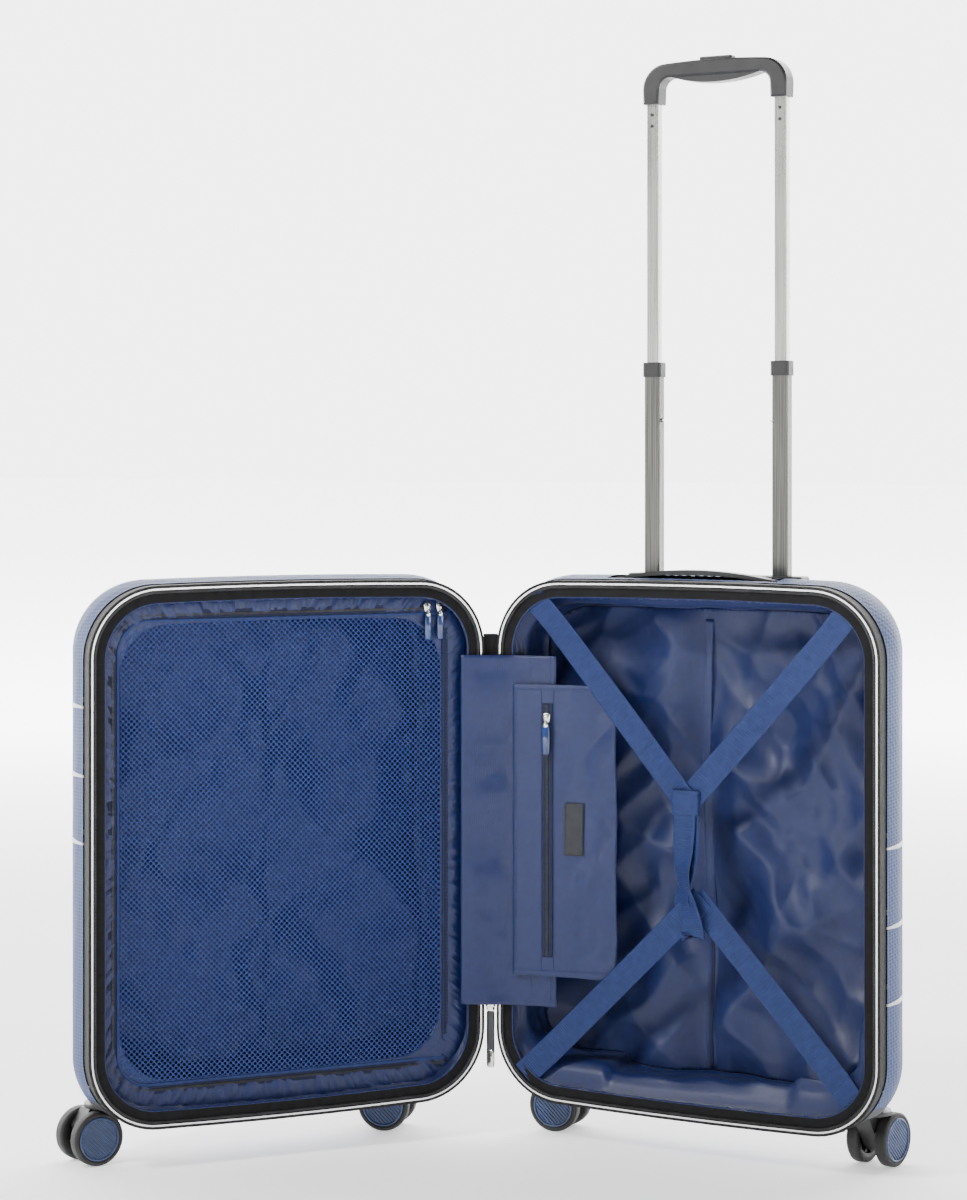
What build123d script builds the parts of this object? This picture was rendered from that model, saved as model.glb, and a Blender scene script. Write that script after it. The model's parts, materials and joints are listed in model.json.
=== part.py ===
"""Hard shell suitcase on wheels: two shell halves on a zip hinge, standing open."""
import os
from math import atan2, cos, degrees, radians, sin

from build123d import *

os.makedirs("parts", exist_ok=True)

# ---------------------------------------------------------------- driving dimensions, mm
case_width = 398.0
case_height = 505.0
half_depth = 104.0
corner_radius = 68.0
edge_crown = 3.5
floor_clearance = 36.0
lid_open_angle = 54.64          # turn of the lid away from lying flat beside the back half
hinge_offset = 6.5              # hinge axis to the near edge of each half
hinge_x = -53.49
hinge_y = 111.67

shell_wall = 2.6
rim_setback = 0.4
band_depth = 14.5
piping_width = 1.6
tape_inner = 16.0
lining_wall = 1.5

# depth behind the rim, swell of the two sides, swell of the top and bottom
shell_profile = [
    (14.9, 1.0, 1.0), (28.0, 1.9, 3.2), (41.0, 1.6, 4.0), (53.0, -0.9, 3.2), (68.0, -5.5, 0.5),
    (83.0, -12.5, -5.0), (94.5, -22.0, -14.0), (101.5, -34.0, -26.0), (half_depth, -48.0, -40.0),
]
back_lining_profile = [(4.0, -10.0), (14.0, -13.0), (20.0, -17.0), (60.0, -19.0), (67.0, -27.0)]
front_lining_profile = [(4.0, -10.0), (16.0, -11.0), (50.0, -14.0), (68.0, -19.0), (83.0, -27.0), (92.0, -39.0)]

# wheels
wheel_radius = 25.0
wheel_width = 12.0
wheel_spacing = 30.0            # between the middles of the two wheels of a caster
tyre_thickness = 4.6
caster_trail = 18.0
caster_depth = 61.0             # swivel axis behind the rim
caster_from_outer = 36.0        # swivel axis from the outer edge
caster_from_hinge = 57.0        # swivel axis from the hinge edge
well_radius = 46.2
well_ceiling = 54.5
housing_top = 64.0
axle_radius = 3.0
stem_radius = 5.0
caster_headings = {
    "front_outer": 244.85, "front_inner": 197.35, "back_inner": 185.25, "back_outer": 81.85,
}

# trolley
tube_offset = 67.5              # each tube from the middle of the case
tube_depth_pos = 79.0           # tube plane behind the rim
inner_tube_size = (12.7, 10.0)
middle_tube_size = (16.2, 13.0)
outer_tube_size = (20.5, 17.0)
tube_wall = 0.8
grip_leg_bottom = 999.0
grip_top = 1039.0
collar_top = 749.0
collar_height = 14.0
bezel_top = 545.0
bezel_bottom = 527.2
stage_pin_height = 693.0

# ---------------------------------------------------------------- worked out from these
rim_centre = floor_clearance + case_height / 2
rim_top = floor_clearance + case_height
half_width = case_width / 2
back_frame = Plane(origin=(hinge_x, hinge_y, 0), x_dir=(1, 0, 0), z_dir=(0, 0, 1))
lid_x = (cos(radians(lid_open_angle)), sin(radians(lid_open_angle)), 0)
front_frame = Plane(origin=(hinge_x, hinge_y, 0), x_dir=lid_x, z_dir=(0, 0, 1))
frames = {"back": back_frame, "front": front_frame}
sides = {"back": 1, "front": -1}


def point(half, out, behind, height):
    """A point given by its distance out from the hinge edge, behind the rim and above the floor."""
    return frames[half].from_local_coords(Vector(sides[half] * (out + hinge_offset), behind, height))


def upright(half, behind):
    """Plane parallel to the rim, its origin on the floor under the middle of the half."""
    frame = frames[half]
    return Plane(origin=point(half, half_width, behind, 0), x_dir=frame.x_dir, z_dir=-frame.y_dir)


def rim_plane(half, behind):
    """The same plane with its origin at the middle of the rim."""
    frame = frames[half]
    return Plane(origin=point(half, half_width, behind, rim_centre), x_dir=frame.x_dir, z_dir=-frame.y_dir)


def level(half, height):
    """Level plane, its origin in the rim plane at the middle of the half."""
    return Plane(origin=point(half, half_width, 0, height), x_dir=frames[half].x_dir, z_dir=(0, 0, 1))


def across(half, out):
    """Sketch distance from the middle of a half for a place out from its hinge edge."""
    return sides[half] * (out - half_width)


def outline(side_swell, end_swell):
    """The case's outline with its softly bowed top and bottom."""
    w = half_width + side_swell
    h = case_height / 2 + end_swell
    with BuildSketch(mode=Mode.PRIVATE) as shape:
        with BuildLine():
            ThreePointArc((-w, h - edge_crown), (0, h), (w, h - edge_crown))
            Line((w, h - edge_crown), (w, edge_crown - h))
            ThreePointArc((w, edge_crown - h), (0, -h), (-w, edge_crown - h))
            Line((-w, edge_crown - h), (-w, h - edge_crown))
        make_face()
        fillet(shape.vertices(), corner_radius + min(side_swell, end_swell))
    return shape.sketch


def finish(piece, name):
    """Name a finished piece and write it out."""
    piece.label = name
    export_step(piece, f"parts/{name}.step")


# ---------------------------------------------------------------- shells, rims and linings
housing_spans = {
    "inner": (-10.0, caster_from_hinge + well_radius + 3.5),
    "outer": (case_width - caster_from_outer - well_radius - 3.5, case_width + 10.0),
}


def housing_box(half, place, grow):
    """The block of room that a wheel housing takes in a lower corner."""
    low, high = housing_spans[place]
    start = band_depth + rim_setback + 0.1 - grow
    middle = across(half, (low + high) / 2)
    with BuildPart(mode=Mode.PRIVATE) as block:
        with BuildSketch(level(half, floor_clearance - 10)):
            with Locations((middle, (start + half_depth + 10) / 2)):
                Rectangle(high - low + 2 * grow, half_depth + 10 - start)
        extrude(amount=housing_top + grow - floor_clearance + 10)
    return block.part


for half in ("back", "front"):
    with BuildPart() as casing:
        for depth, side_swell, end_swell in shell_profile:
            with BuildSketch(rim_plane(half, depth)):
                add(outline(side_swell, end_swell))
        loft()

    with BuildPart() as hollow:
        for depth, side_swell, end_swell in shell_profile:
            inner_depth = shell_profile[0][0] + (depth - shell_profile[0][0]) * (
                (half_depth - shell_wall - shell_profile[0][0]) / (half_depth - shell_profile[0][0]))
            with BuildSketch(rim_plane(half, inner_depth)):
                add(outline(side_swell - shell_wall, end_swell - shell_wall))
        loft()

    with BuildPart() as shell:
        add(casing.part)
        add(hollow.part, mode=Mode.SUBTRACT)
        for place in ("inner", "outer"):
            add(housing_box(half, place, 0.1), mode=Mode.SUBTRACT)
        if half == "back":
            with BuildSketch(level(half, bezel_bottom - 3)):
                with Locations((0, tube_depth_pos)):
                    Rectangle(184.4, 26.4)
            extrude(amount=40, mode=Mode.SUBTRACT)
            with BuildSketch(level(half, rim_top - 10)):
                with Locations((0, 32)):
                    Rectangle(176.4, 24.4)
            extrude(amount=40, mode=Mode.SUBTRACT)
    finish(shell.part, f"{half}_shell")

    with BuildPart() as housings:
        for place in ("inner", "outer"):
            add(housing_box(half, place, 0))
        add(casing.part, mode=Mode.INTERSECT)
        for place in ("inner", "outer"):
            out = caster_from_hinge if place == "inner" else case_width - caster_from_outer
            with BuildSketch(level(half, floor_clearance - 10)):
                with Locations((across(half, out), caster_depth)):
                    Circle(well_radius)
            extrude(amount=well_ceiling - floor_clearance + 10, mode=Mode.SUBTRACT)
            with BuildSketch(level(half, well_ceiling - 1)):
                with Locations((across(half, out), caster_depth)):
                    Circle(stem_radius + 0.06)
            extrude(amount=9, mode=Mode.SUBTRACT)
    finish(housings.part, f"{half}_wheel_housings")

    with BuildPart() as rim_band:
        with BuildSketch(rim_plane(half, rim_setback + band_depth)):
            add(outline(0, 0))
            add(outline(-shell_wall, -shell_wall), mode=Mode.SUBTRACT)
        extrude(amount=band_depth)
    finish(rim_band.part, f"{half}_rim_band")

    with BuildPart() as piping:
        with BuildSketch(rim_plane(half, 3.6)):
            add(outline(-shell_wall, -shell_wall))
            add(outline(-shell_wall - piping_width, -shell_wall - piping_width), mode=Mode.SUBTRACT)
        extrude(amount=3.6 - rim_setback)
    finish(piping.part, f"{half}_piping")

    with BuildPart() as zip_tape:
        with BuildSketch(rim_plane(half, 3.6)):
            add(outline(-shell_wall - piping_width, -shell_wall - piping_width))
            add(outline(-tape_inner, -tape_inner), mode=Mode.SUBTRACT)
        extrude(amount=1.2)
    finish(zip_tape.part, f"{half}_zip_tape")

    with BuildPart() as zip_teeth:
        with BuildSketch(rim_plane(half, 2.4)):
            add(outline(-4.8, -4.8))
            add(outline(-7.6, -7.6), mode=Mode.SUBTRACT)
        extrude(amount=2.4 - rim_setback)
    finish(zip_teeth.part, f"{half}_zip_teeth")

    lining_profile = back_lining_profile if half == "back" else front_lining_profile
    with BuildPart() as lining_room:
        for depth, swell in lining_profile:
            start = lining_profile[0][0]
            end = lining_profile[-1][0]
            inner_depth = start + (depth - start) * (end - lining_wall - start) / (end - start)
            with BuildSketch(rim_plane(half, inner_depth)):
                add(outline(swell - lining_wall, swell - lining_wall))
        loft()
        for place in ("inner", "outer"):
            add(housing_box(half, place, 1.0 + lining_wall), mode=Mode.SUBTRACT)

    with BuildPart() as lining:
        for depth, swell in lining_profile:
            with BuildSketch(rim_plane(half, depth)):
                add(outline(swell, swell))
        loft()
        for place in ("inner", "outer"):
            add(housing_box(half, place, 1.0), mode=Mode.SUBTRACT)
        add(lining_room.part, mode=Mode.SUBTRACT)
    panel_face = rim_plane(half, lining_profile[-1][0] - lining_wall)
    gusset = split(lining.part, bisect_by=panel_face, keep=Keep.TOP)
    panel = split(lining.part, bisect_by=panel_face, keep=Keep.BOTTOM)
    finish(Compound(children=[gusset, panel]), f"{half}_lining")

# ---------------------------------------------------------------- lid divider
divider_depth = 15.5
divider_thickness = 1.5
net_low = 75.0
net_high = 508.0
net_seam = 37.0                 # the sewn edge of the net, out from the hinge edge
net_outer = 368.0
net_corner = 32.0
divider_zip_width = 5.0


def net_outline(grow, seam):
    """The net's outline: square at the sewn edge, rounded at the two outer corners."""
    low = net_low - grow
    high = net_high + grow
    outer = net_outer + grow
    with BuildSketch(mode=Mode.PRIVATE) as shape:
        with Locations((across("front", (outer + seam) / 2), (low + high) / 2)):
            Rectangle(outer - seam, high - low)
        corners = shape.vertices().sort_by(Axis.X)[:2]
        fillet(corners, net_corner + grow)
    return shape.sketch


with BuildPart() as divider_net:
    with BuildSketch(upright("front", divider_depth)):
        add(net_outline(0, net_seam))
    extrude(amount=divider_thickness)
finish(divider_net.part, "divider_net")

with BuildPart() as divider_zip:
    with BuildSketch(upright("front", divider_depth)):
        add(net_outline(divider_zip_width, net_seam))
        add(net_outline(0, net_seam - 1), mode=Mode.SUBTRACT)
    extrude(amount=divider_thickness)
finish(divider_zip.part, "divider_zip")

with BuildPart() as divider_border:
    with BuildSketch(rim_plane("front", divider_depth)):
        add(outline(-12.9, -12.9))
    extrude(amount=divider_thickness)
    with BuildSketch(upright("front", divider_depth + 1)):
        add(net_outline(divider_zip_width, net_seam))
    extrude(amount=divider_thickness + 2, mode=Mode.SUBTRACT)
    for place in ("inner", "outer"):
        add(housing_box("front", place, 1.0 + lining_wall), mode=Mode.SUBTRACT)
finish(divider_border.part, "divider_border")

# ---------------------------------------------------------------- zip sliders and pulls
slider_thickness = 3.4
pull_thickness = 1.8
divider_slider_places = {"outer": 56.0, "inner": 43.0}
divider_slider_height = net_high + divider_zip_width / 2 + 3

for name, out in divider_slider_places.items():
    face = divider_depth - divider_thickness
    with BuildPart() as slider:
        with BuildSketch(upright("front", face)):
            with Locations((across("front", out), divider_slider_height)):
                RectangleRounded(9.5, 7.0, 2.2)
        extrude(amount=slider_thickness)
    finish(slider.part, f"divider_slider_{name}")
    with BuildPart() as pull:
        with BuildSketch(upright("front", face - slider_thickness)):
            with Locations((across("front", out), divider_slider_height - 13)):
                RectangleRounded(7.4, 29.0, 2.0)
        extrude(amount=pull_thickness)
    finish(pull.part, f"divider_pull_{name}")

# ---------------------------------------------------------------- hinge tape, flap and pocket
tape_low = 134.0
tape_high = 486.0
with BuildPart() as hinge_tape:
    corners = [point(half, -0.3, behind, 0) for half, behind in
               (("back", 2.2), ("back", 3.8), ("front", 3.8), ("front", 2.2))]
    with BuildSketch(Plane.XY.offset(tape_low)):
        with BuildLine():
            Polyline([(p.X, p.Y) for p in corners], close=True)
        make_face()
    extrude(amount=tape_high - tape_low)
finish(hinge_tape.part, "hinge_tape")

flap_low = 128.0
flap_high = 466.0
with BuildPart() as hinge_flap:
    corners = [point("front", 24.0, 3.4, 0), point("back", 19.5, -1.4, 0), point("back", 62.0, 6.9, 0),
               point("back", 62.0, 8.1, 0), point("back", 19.0, -0.2, 0), point("front", 24.0, 4.6, 0)]
    with BuildSketch(Plane.XY.offset(flap_low)):
        with BuildLine():
            Polyline([(p.X, p.Y) for p in corners], close=True)
        make_face()
    extrude(amount=flap_high - flap_low)
finish(hinge_flap.part, "hinge_flap")

pocket_length = 104.0
pocket_height = 280.0
pocket_low = 159.0
pocket_start = point("back", 21.0, -5.0, pocket_low)
pocket_end = point("back", 123.0, 15.0, pocket_low)
pocket_run = (pocket_end - pocket_start).normalized()
pocket_plane = Plane(origin=pocket_start, x_dir=pocket_run, z_dir=pocket_run.cross(Vector(0, 0, 1)))
pocket_zip_across = 35.0
pocket_slider_height = 248.0

with BuildPart() as pocket:
    with BuildSketch(pocket_plane):
        with Locations((pocket_length / 2, pocket_height / 2)):
            RectangleRounded(pocket_length, pocket_height, 6)
    extrude(amount=-3)
finish(pocket.part, "pocket")

with BuildPart() as pocket_zip:
    with BuildSketch(pocket_plane):
        with Locations((pocket_zip_across, 142)):
            Rectangle(7, 250)
    extrude(amount=1)
finish(pocket_zip.part, "pocket_zip")

with BuildPart() as pocket_label:
    with BuildSketch(pocket_plane):
        with Locations((62, 142)):
            Rectangle(19, 50)
    extrude(amount=0.6)
finish(pocket_label.part, "pocket_label")

with BuildPart() as pocket_slider:
    with BuildSketch(pocket_plane.offset(1)):
        with Locations((pocket_zip_across, pocket_slider_height)):
            RectangleRounded(7.0, 9.5, 2.2)
    extrude(amount=slider_thickness)
finish(pocket_slider.part, "pocket_slider")

with BuildPart() as pocket_pull:
    with BuildSketch(pocket_plane.offset(1 + slider_thickness)):
        with Locations((pocket_zip_across, pocket_slider_height - 15)):
            RectangleRounded(8, 32, 2)
    extrude(amount=pull_thickness)
finish(pocket_pull.part, "pocket_pull")

# the main zip's slider parks on the hinge line, its pull hangs below it
main_slider_height = 127.0
with BuildPart() as main_zip_slider:
    with BuildSketch(Plane(origin=(hinge_x, hinge_y + 2, 0), x_dir=(1, 0, 0), z_dir=(0, -1, 0))):
        with Locations((0, main_slider_height)):
            Circle(4.8)
            Rectangle(7, 12)
    extrude(amount=4)
finish(main_zip_slider.part, "main_zip_slider")

with BuildPart() as main_zip_pull:
    with BuildSketch(Plane(origin=(hinge_x, hinge_y + 1, 0), x_dir=(1, 0, 0), z_dir=(0, -1, 0))):
        with Locations((0, 93)):
            RectangleRounded(7.6, 54, 2)
        with Locations((0, 76)):
            SlotOverall(9, 2.4, rotation=90, mode=Mode.SUBTRACT)
    extrude(amount=2)
finish(main_zip_pull.part, "main_zip_pull")

# ---------------------------------------------------------------- cross straps
strap_width = 25.0
strap_depth = 9.0
strap_thickness = 1.2
upper_knot = (200.0, 334.0)
lower_knot = (212.0, 241.0)
strap_anchors = {
    "upper": (upper_knot, ((47.0, 513.0), (358.0, 509.0))),
    "lower": (lower_knot, ((42.0, 74.0), (367.0, 73.0))),
}

for level_name, (knot, anchors) in strap_anchors.items():
    with BuildPart() as straps:
        for index, anchor in enumerate(anchors):
            run = Vector(anchor[0] - knot[0], anchor[1] - knot[1])
            turn = degrees(atan2(run.Y, run.X))
            middle = ((anchor[0] + knot[0]) / 2, (anchor[1] + knot[1]) / 2)
            with BuildSketch(upright("back", strap_depth + 1.4 * index)):
                with Locations(Location((across("back", middle[0]), middle[1]), turn)):
                    Rectangle(run.length, strap_width)
            extrude(amount=strap_thickness)
    finish(straps.part, f"{level_name}_straps")

with BuildPart() as strap_keeper:
    with BuildSketch(upright("back", strap_depth - strap_thickness - 0.2)):
        with Locations((across("back", upper_knot[0]), upper_knot[1])):
            Rectangle(29, 23)
    extrude(amount=2.6)
finish(strap_keeper.part, "strap_keeper")

with BuildPart() as strap_loop:
    with BuildSketch(upright("back", strap_depth - strap_thickness - 0.2)):
        with Locations((across("back", 206), 258)):
            Rectangle(strap_width, 126)
    extrude(amount=2.6)
finish(strap_loop.part, "strap_loop")

# ---------------------------------------------------------------- trolley
tube_places = [(-tube_offset, tube_depth_pos), (tube_offset, tube_depth_pos)]
middle_hollow = (middle_tube_size[0] - 2 * tube_wall, middle_tube_size[1] - 2 * tube_wall)

with BuildPart() as outer_tubes:
    with BuildSketch(level("back", 60)):
        with Locations(*tube_places):
            Rectangle(*outer_tube_size)
            Rectangle(outer_tube_size[0] - 2.4, outer_tube_size[1] - 2.4, mode=Mode.SUBTRACT)
        with Locations(*[(x * 0.86, y) for x, y in tube_places]):
            Rectangle(6, 6, mode=Mode.SUBTRACT)
    extrude(amount=bezel_bottom - 60)
finish(outer_tubes.part, "outer_tubes")

with BuildPart() as trolley_bezel:
    with BuildSketch(level("back", bezel_bottom)):
        with Locations((0, tube_depth_pos)):
            RectangleRounded(184, 26, 6)
        with Locations(*tube_places):
            Rectangle(middle_tube_size[0] + 1.0, middle_tube_size[1] + 0.8, mode=Mode.SUBTRACT)
        with Locations(*[(x * 0.86, y) for x, y in tube_places]):
            Rectangle(8, 6, mode=Mode.SUBTRACT)
    extrude(amount=bezel_top - bezel_bottom)
    chamfer(trolley_bezel.faces().sort_by(Axis.Z)[-1].outer_wire().edges(), 1.5)
finish(trolley_bezel.part, "trolley_bezel")

with BuildPart() as middle_tubes:
    with BuildSketch(level("back", 455)):
        with Locations(*tube_places):
            RectangleRounded(*middle_tube_size, 2)
            RectangleRounded(*middle_hollow, 1.2, mode=Mode.SUBTRACT)
    extrude(amount=collar_top - 3 - 455)
finish(middle_tubes.part, "middle_tubes")

with BuildPart() as collars:
    with BuildSketch(level("back", collar_top - collar_height)):
        with Locations(*tube_places):
            RectangleRounded(19, 15.6, 3)
    extrude(amount=collar_height)
    with BuildSketch(level("back", collar_top - collar_height)):
        with Locations(*tube_places):
            RectangleRounded(*middle_tube_size, 2)
    extrude(amount=collar_height - 3, mode=Mode.SUBTRACT)
    with BuildSketch(level("back", collar_top - 4)):
        with Locations(*tube_places):
            RectangleRounded(inner_tube_size[0] + 0.6, inner_tube_size[1] + 0.6, 1.6)
    extrude(amount=5, mode=Mode.SUBTRACT)
finish(collars.part, "collars")

with BuildPart() as stage_pins:
    for sign in (-1, 1):
        start = point("back", half_width + sign * (tube_offset - middle_tube_size[0] / 2), tube_depth_pos, 0)
        pin_plane = Plane(origin=(start.X, start.Y, stage_pin_height), z_dir=(-sign, 0, 0))
        with BuildSketch(pin_plane):
            Circle(2)
        extrude(amount=3)
finish(stage_pins.part, "stage_pins")

with BuildPart() as inner_tubes:
    with BuildSketch(level("back", 690)):
        with Locations(*tube_places):
            RectangleRounded(*inner_tube_size, 1.5)
            RectangleRounded(inner_tube_size[0] - 2, inner_tube_size[1] - 2, 0.8, mode=Mode.SUBTRACT)
    extrude(amount=grip_leg_bottom + 13 - 690)
finish(inner_tubes.part, "inner_tubes")

with BuildPart() as tube_guides:
    with BuildSketch(level("back", 690)):
        with Locations(*tube_places):
            RectangleRounded(middle_hollow[0] - 0.3, middle_hollow[1] - 0.3, 1.2)
            RectangleRounded(*inner_tube_size, 1.5, mode=Mode.SUBTRACT)
    extrude(amount=28)
finish(tube_guides.part, "tube_guides")

grip_depth = 20.0
grip_half = tube_offset + 9.0
with BuildPart() as grip:
    with BuildSketch(upright("back", tube_depth_pos + grip_depth / 2)):
        with BuildLine():
            ThreePointArc((-grip_half, grip_top - 4), (0, grip_top), (grip_half, grip_top - 4))
            Line((grip_half, grip_top - 4), (grip_half - 1, grip_leg_bottom))
            Line((grip_half - 1, grip_leg_bottom), (tube_offset - 8.5, grip_leg_bottom))
            Line((tube_offset - 8.5, grip_leg_bottom), (tube_offset - 9.5, grip_top - 15))
            Line((tube_offset - 9.5, grip_top - 15), (9.5 - tube_offset, grip_top - 15))
            Line((9.5 - tube_offset, grip_top - 15), (8.5 - tube_offset, grip_leg_bottom))
            Line((8.5 - tube_offset, grip_leg_bottom), (1 - grip_half, grip_leg_bottom))
            Line((1 - grip_half, grip_leg_bottom), (-grip_half, grip_top - 4))
        make_face()
    extrude(amount=grip_depth)
    uprights = grip.edges().filter_by(Axis.Y)
    fillet(uprights.group_by(Axis.Z)[-1], 24)
    inner_corners = grip.edges().filter_by(Axis.Y).filter_by_position(Axis.Z, grip_top - 16, grip_top - 14)
    fillet(inner_corners, 11)
    chamfer(grip.faces().sort_by(Axis.Y)[0].outer_wire().edges(), 2)
    chamfer(grip.faces().sort_by(Axis.Y)[-1].outer_wire().edges(), 2)
    with BuildSketch(level("back", grip_leg_bottom)):
        with Locations(*tube_places):
            RectangleRounded(*inner_tube_size, 1.5)
    extrude(amount=13, mode=Mode.SUBTRACT)
    with BuildSketch(level("back", grip_top - 9)):
        with Locations((0, tube_depth_pos)):
            RectangleRounded(34.6, 11.6, 2)
    extrude(amount=12, mode=Mode.SUBTRACT)
finish(grip.part, "grip")

with BuildPart() as grip_insert:
    with BuildSketch(upright("back", tube_depth_pos + 7.5)):
        with BuildLine():
            Line((-46, grip_top - 15), (46, grip_top - 15))
            ThreePointArc((46, grip_top - 15), (0, grip_top - 22), (-46, grip_top - 15))
        make_face()
    extrude(amount=15)
finish(grip_insert.part, "grip_insert")

with BuildPart() as grip_screws:
    for sign in (-1, 1):
        for height in (grip_leg_bottom - 10, grip_leg_bottom - 21):
            start = point("back", half_width + sign * tube_offset, tube_depth_pos - inner_tube_size[1] / 2, height)
            with BuildSketch(Plane(origin=(start.X, start.Y, start.Z), z_dir=(0, -1, 0))):
                Circle(1.6)
            extrude(amount=0.5)
finish(grip_screws.part, "grip_screws")

with BuildPart() as release_button:
    with BuildSketch(level("back", grip_top - 5)):
        with Locations((0, tube_depth_pos)):
            RectangleRounded(34, 11, 2)
    extrude(amount=8.2)
    fillet(release_button.faces().sort_by(Axis.Z)[-1].edges(), 1.2)
finish(release_button.part, "release_button")

with BuildPart() as release_rods:
    with BuildSketch(level("back", 700)):
        with Locations(*tube_places):
            Circle(2)
    extrude(amount=grip_leg_bottom + 9 - 700)
finish(release_rods.part, "release_rods")

# ---------------------------------------------------------------- top carry handle
handle_depth = 32.0
handle_post = 76.0
with BuildPart() as handle_base:
    with BuildSketch(level("back", 525)):
        with Locations((0, handle_depth)):
            Rectangle(176, 24)
    extrude(amount=15)
    with BuildSketch(level("back", 527)):
        with Locations((-handle_post, handle_depth), (handle_post, handle_depth)):
            Rectangle(14.6, 12.6)
    extrude(amount=15, mode=Mode.SUBTRACT)
finish(handle_base.part, "handle_base")

with BuildPart() as carry_handle:
    with BuildSketch(upright("back", handle_depth + 6)):
        with BuildLine():
            ThreePointArc((-83, 543), (0, 551), (83, 543))
            Line((83, 543), (83, 540.3))
            ThreePointArc((83, 540.3), (0, 546.7), (-83, 540.3))
            Line((-83, 540.3), (-83, 543))
        make_face()
        with Locations((-handle_post, 535), (handle_post, 535)):
            Rectangle(14, 15)
    extrude(amount=12)
finish(carry_handle.part, "carry_handle")

# ---------------------------------------------------------------- casters
wheel_inner = wheel_spacing / 2 - wheel_width / 2
wheel_outer = wheel_spacing / 2 + wheel_width / 2

for name, heading in caster_headings.items():
    half, place = name.split("_")
    out = caster_from_hinge if place == "inner" else case_width - caster_from_outer
    pivot = point(half, out, caster_depth, 0)
    trail_dir = Vector(cos(radians(heading)), sin(radians(heading)), 0)
    axle_dir = Vector(sin(radians(heading)), -cos(radians(heading)), 0)
    side_plane = Plane(origin=pivot, x_dir=trail_dir, z_dir=axle_dir)

    with BuildPart() as fork:
        with BuildSketch(side_plane.offset(-wheel_inner + 0.4)):
            with BuildLine():
                Polyline([(-15, 51), (-9, 40), (6, 18), (30, 22), (33, 36), (22, 51)], close=True)
            make_face()
            with Locations((caster_trail, wheel_radius)):
                Circle(13)
        extrude(amount=2 * wheel_inner - 0.8)
        with BuildSketch(Plane(origin=(pivot.X, pivot.Y, wheel_radius * 2 + 0.6), z_dir=(0, 0, 1))):
            Circle(21)
        extrude(amount=3.5)
        with BuildSketch(Plane(origin=(pivot.X, pivot.Y, wheel_radius * 2 + 4), z_dir=(0, 0, 1))):
            Circle(stem_radius)
        extrude(amount=8)
        with BuildSketch(side_plane.offset(-20)):
            with Locations((caster_trail, wheel_radius)):
                Circle(axle_radius)
        extrude(amount=40, mode=Mode.SUBTRACT)
    with BuildPart() as axle:
        with BuildSketch(side_plane.offset(-wheel_outer + 3.2)):
            with Locations((caster_trail, wheel_radius)):
                Circle(axle_radius)
        extrude(amount=2 * wheel_outer - 6.4)
    finish(Compound(children=[fork.part, axle.part]), f"fork_{name}")

    for letter, sign in (("a", -1), ("b", 1)):
        near = side_plane.offset(sign * wheel_inner)
        with BuildPart() as hub:
            with BuildSketch(near):
                with Locations((caster_trail, wheel_radius)):
                    Circle(wheel_radius - tyre_thickness)
            extrude(amount=sign * wheel_width)
            with BuildSketch(near.offset(-sign)):
                with Locations((caster_trail, wheel_radius)):
                    Circle(axle_radius + 0.05)
            extrude(amount=sign * (wheel_width - 2), mode=Mode.SUBTRACT)
        with BuildPart() as tyre:
            with BuildSketch(near):
                with Locations((caster_trail, wheel_radius)):
                    Circle(wheel_radius)
                    Circle(wheel_radius - tyre_thickness, mode=Mode.SUBTRACT)
            extrude(amount=sign * wheel_width)
            rims = tyre.edges().filter_by(GeomType.CIRCLE).sort_by(SortBy.RADIUS)[-2:]
            fillet(rims, 1.8)
        finish(Compound(children=[hub.part, tyre.part]), f"wheel_{name}_{letter}")
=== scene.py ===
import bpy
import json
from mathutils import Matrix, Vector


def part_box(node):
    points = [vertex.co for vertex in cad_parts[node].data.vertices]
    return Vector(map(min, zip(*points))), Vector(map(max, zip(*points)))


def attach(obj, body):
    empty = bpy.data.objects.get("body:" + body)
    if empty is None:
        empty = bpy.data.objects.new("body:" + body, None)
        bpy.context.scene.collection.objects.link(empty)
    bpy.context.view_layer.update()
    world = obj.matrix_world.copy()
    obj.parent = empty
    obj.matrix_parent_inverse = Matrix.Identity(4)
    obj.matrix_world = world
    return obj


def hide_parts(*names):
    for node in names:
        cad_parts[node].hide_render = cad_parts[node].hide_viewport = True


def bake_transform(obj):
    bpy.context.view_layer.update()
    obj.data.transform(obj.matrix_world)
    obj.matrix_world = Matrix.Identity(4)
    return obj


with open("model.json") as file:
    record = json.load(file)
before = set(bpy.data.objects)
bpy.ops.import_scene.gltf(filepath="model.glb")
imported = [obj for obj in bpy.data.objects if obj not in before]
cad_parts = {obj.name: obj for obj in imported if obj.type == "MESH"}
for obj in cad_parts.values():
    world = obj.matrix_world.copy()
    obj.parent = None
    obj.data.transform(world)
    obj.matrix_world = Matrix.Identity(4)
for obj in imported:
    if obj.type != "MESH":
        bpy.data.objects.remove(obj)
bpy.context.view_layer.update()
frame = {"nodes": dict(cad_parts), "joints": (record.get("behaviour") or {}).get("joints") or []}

import json
from math import ceil, cos, pi, radians, sin

import bmesh
import bpy
import numpy as np
from mathutils import Vector, geometry, noise
from mathutils.bvhtree import BVHTree

NODES = frame["nodes"]
JOINTS = {joint["name"]: joint for joint in frame["joints"]}

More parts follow.
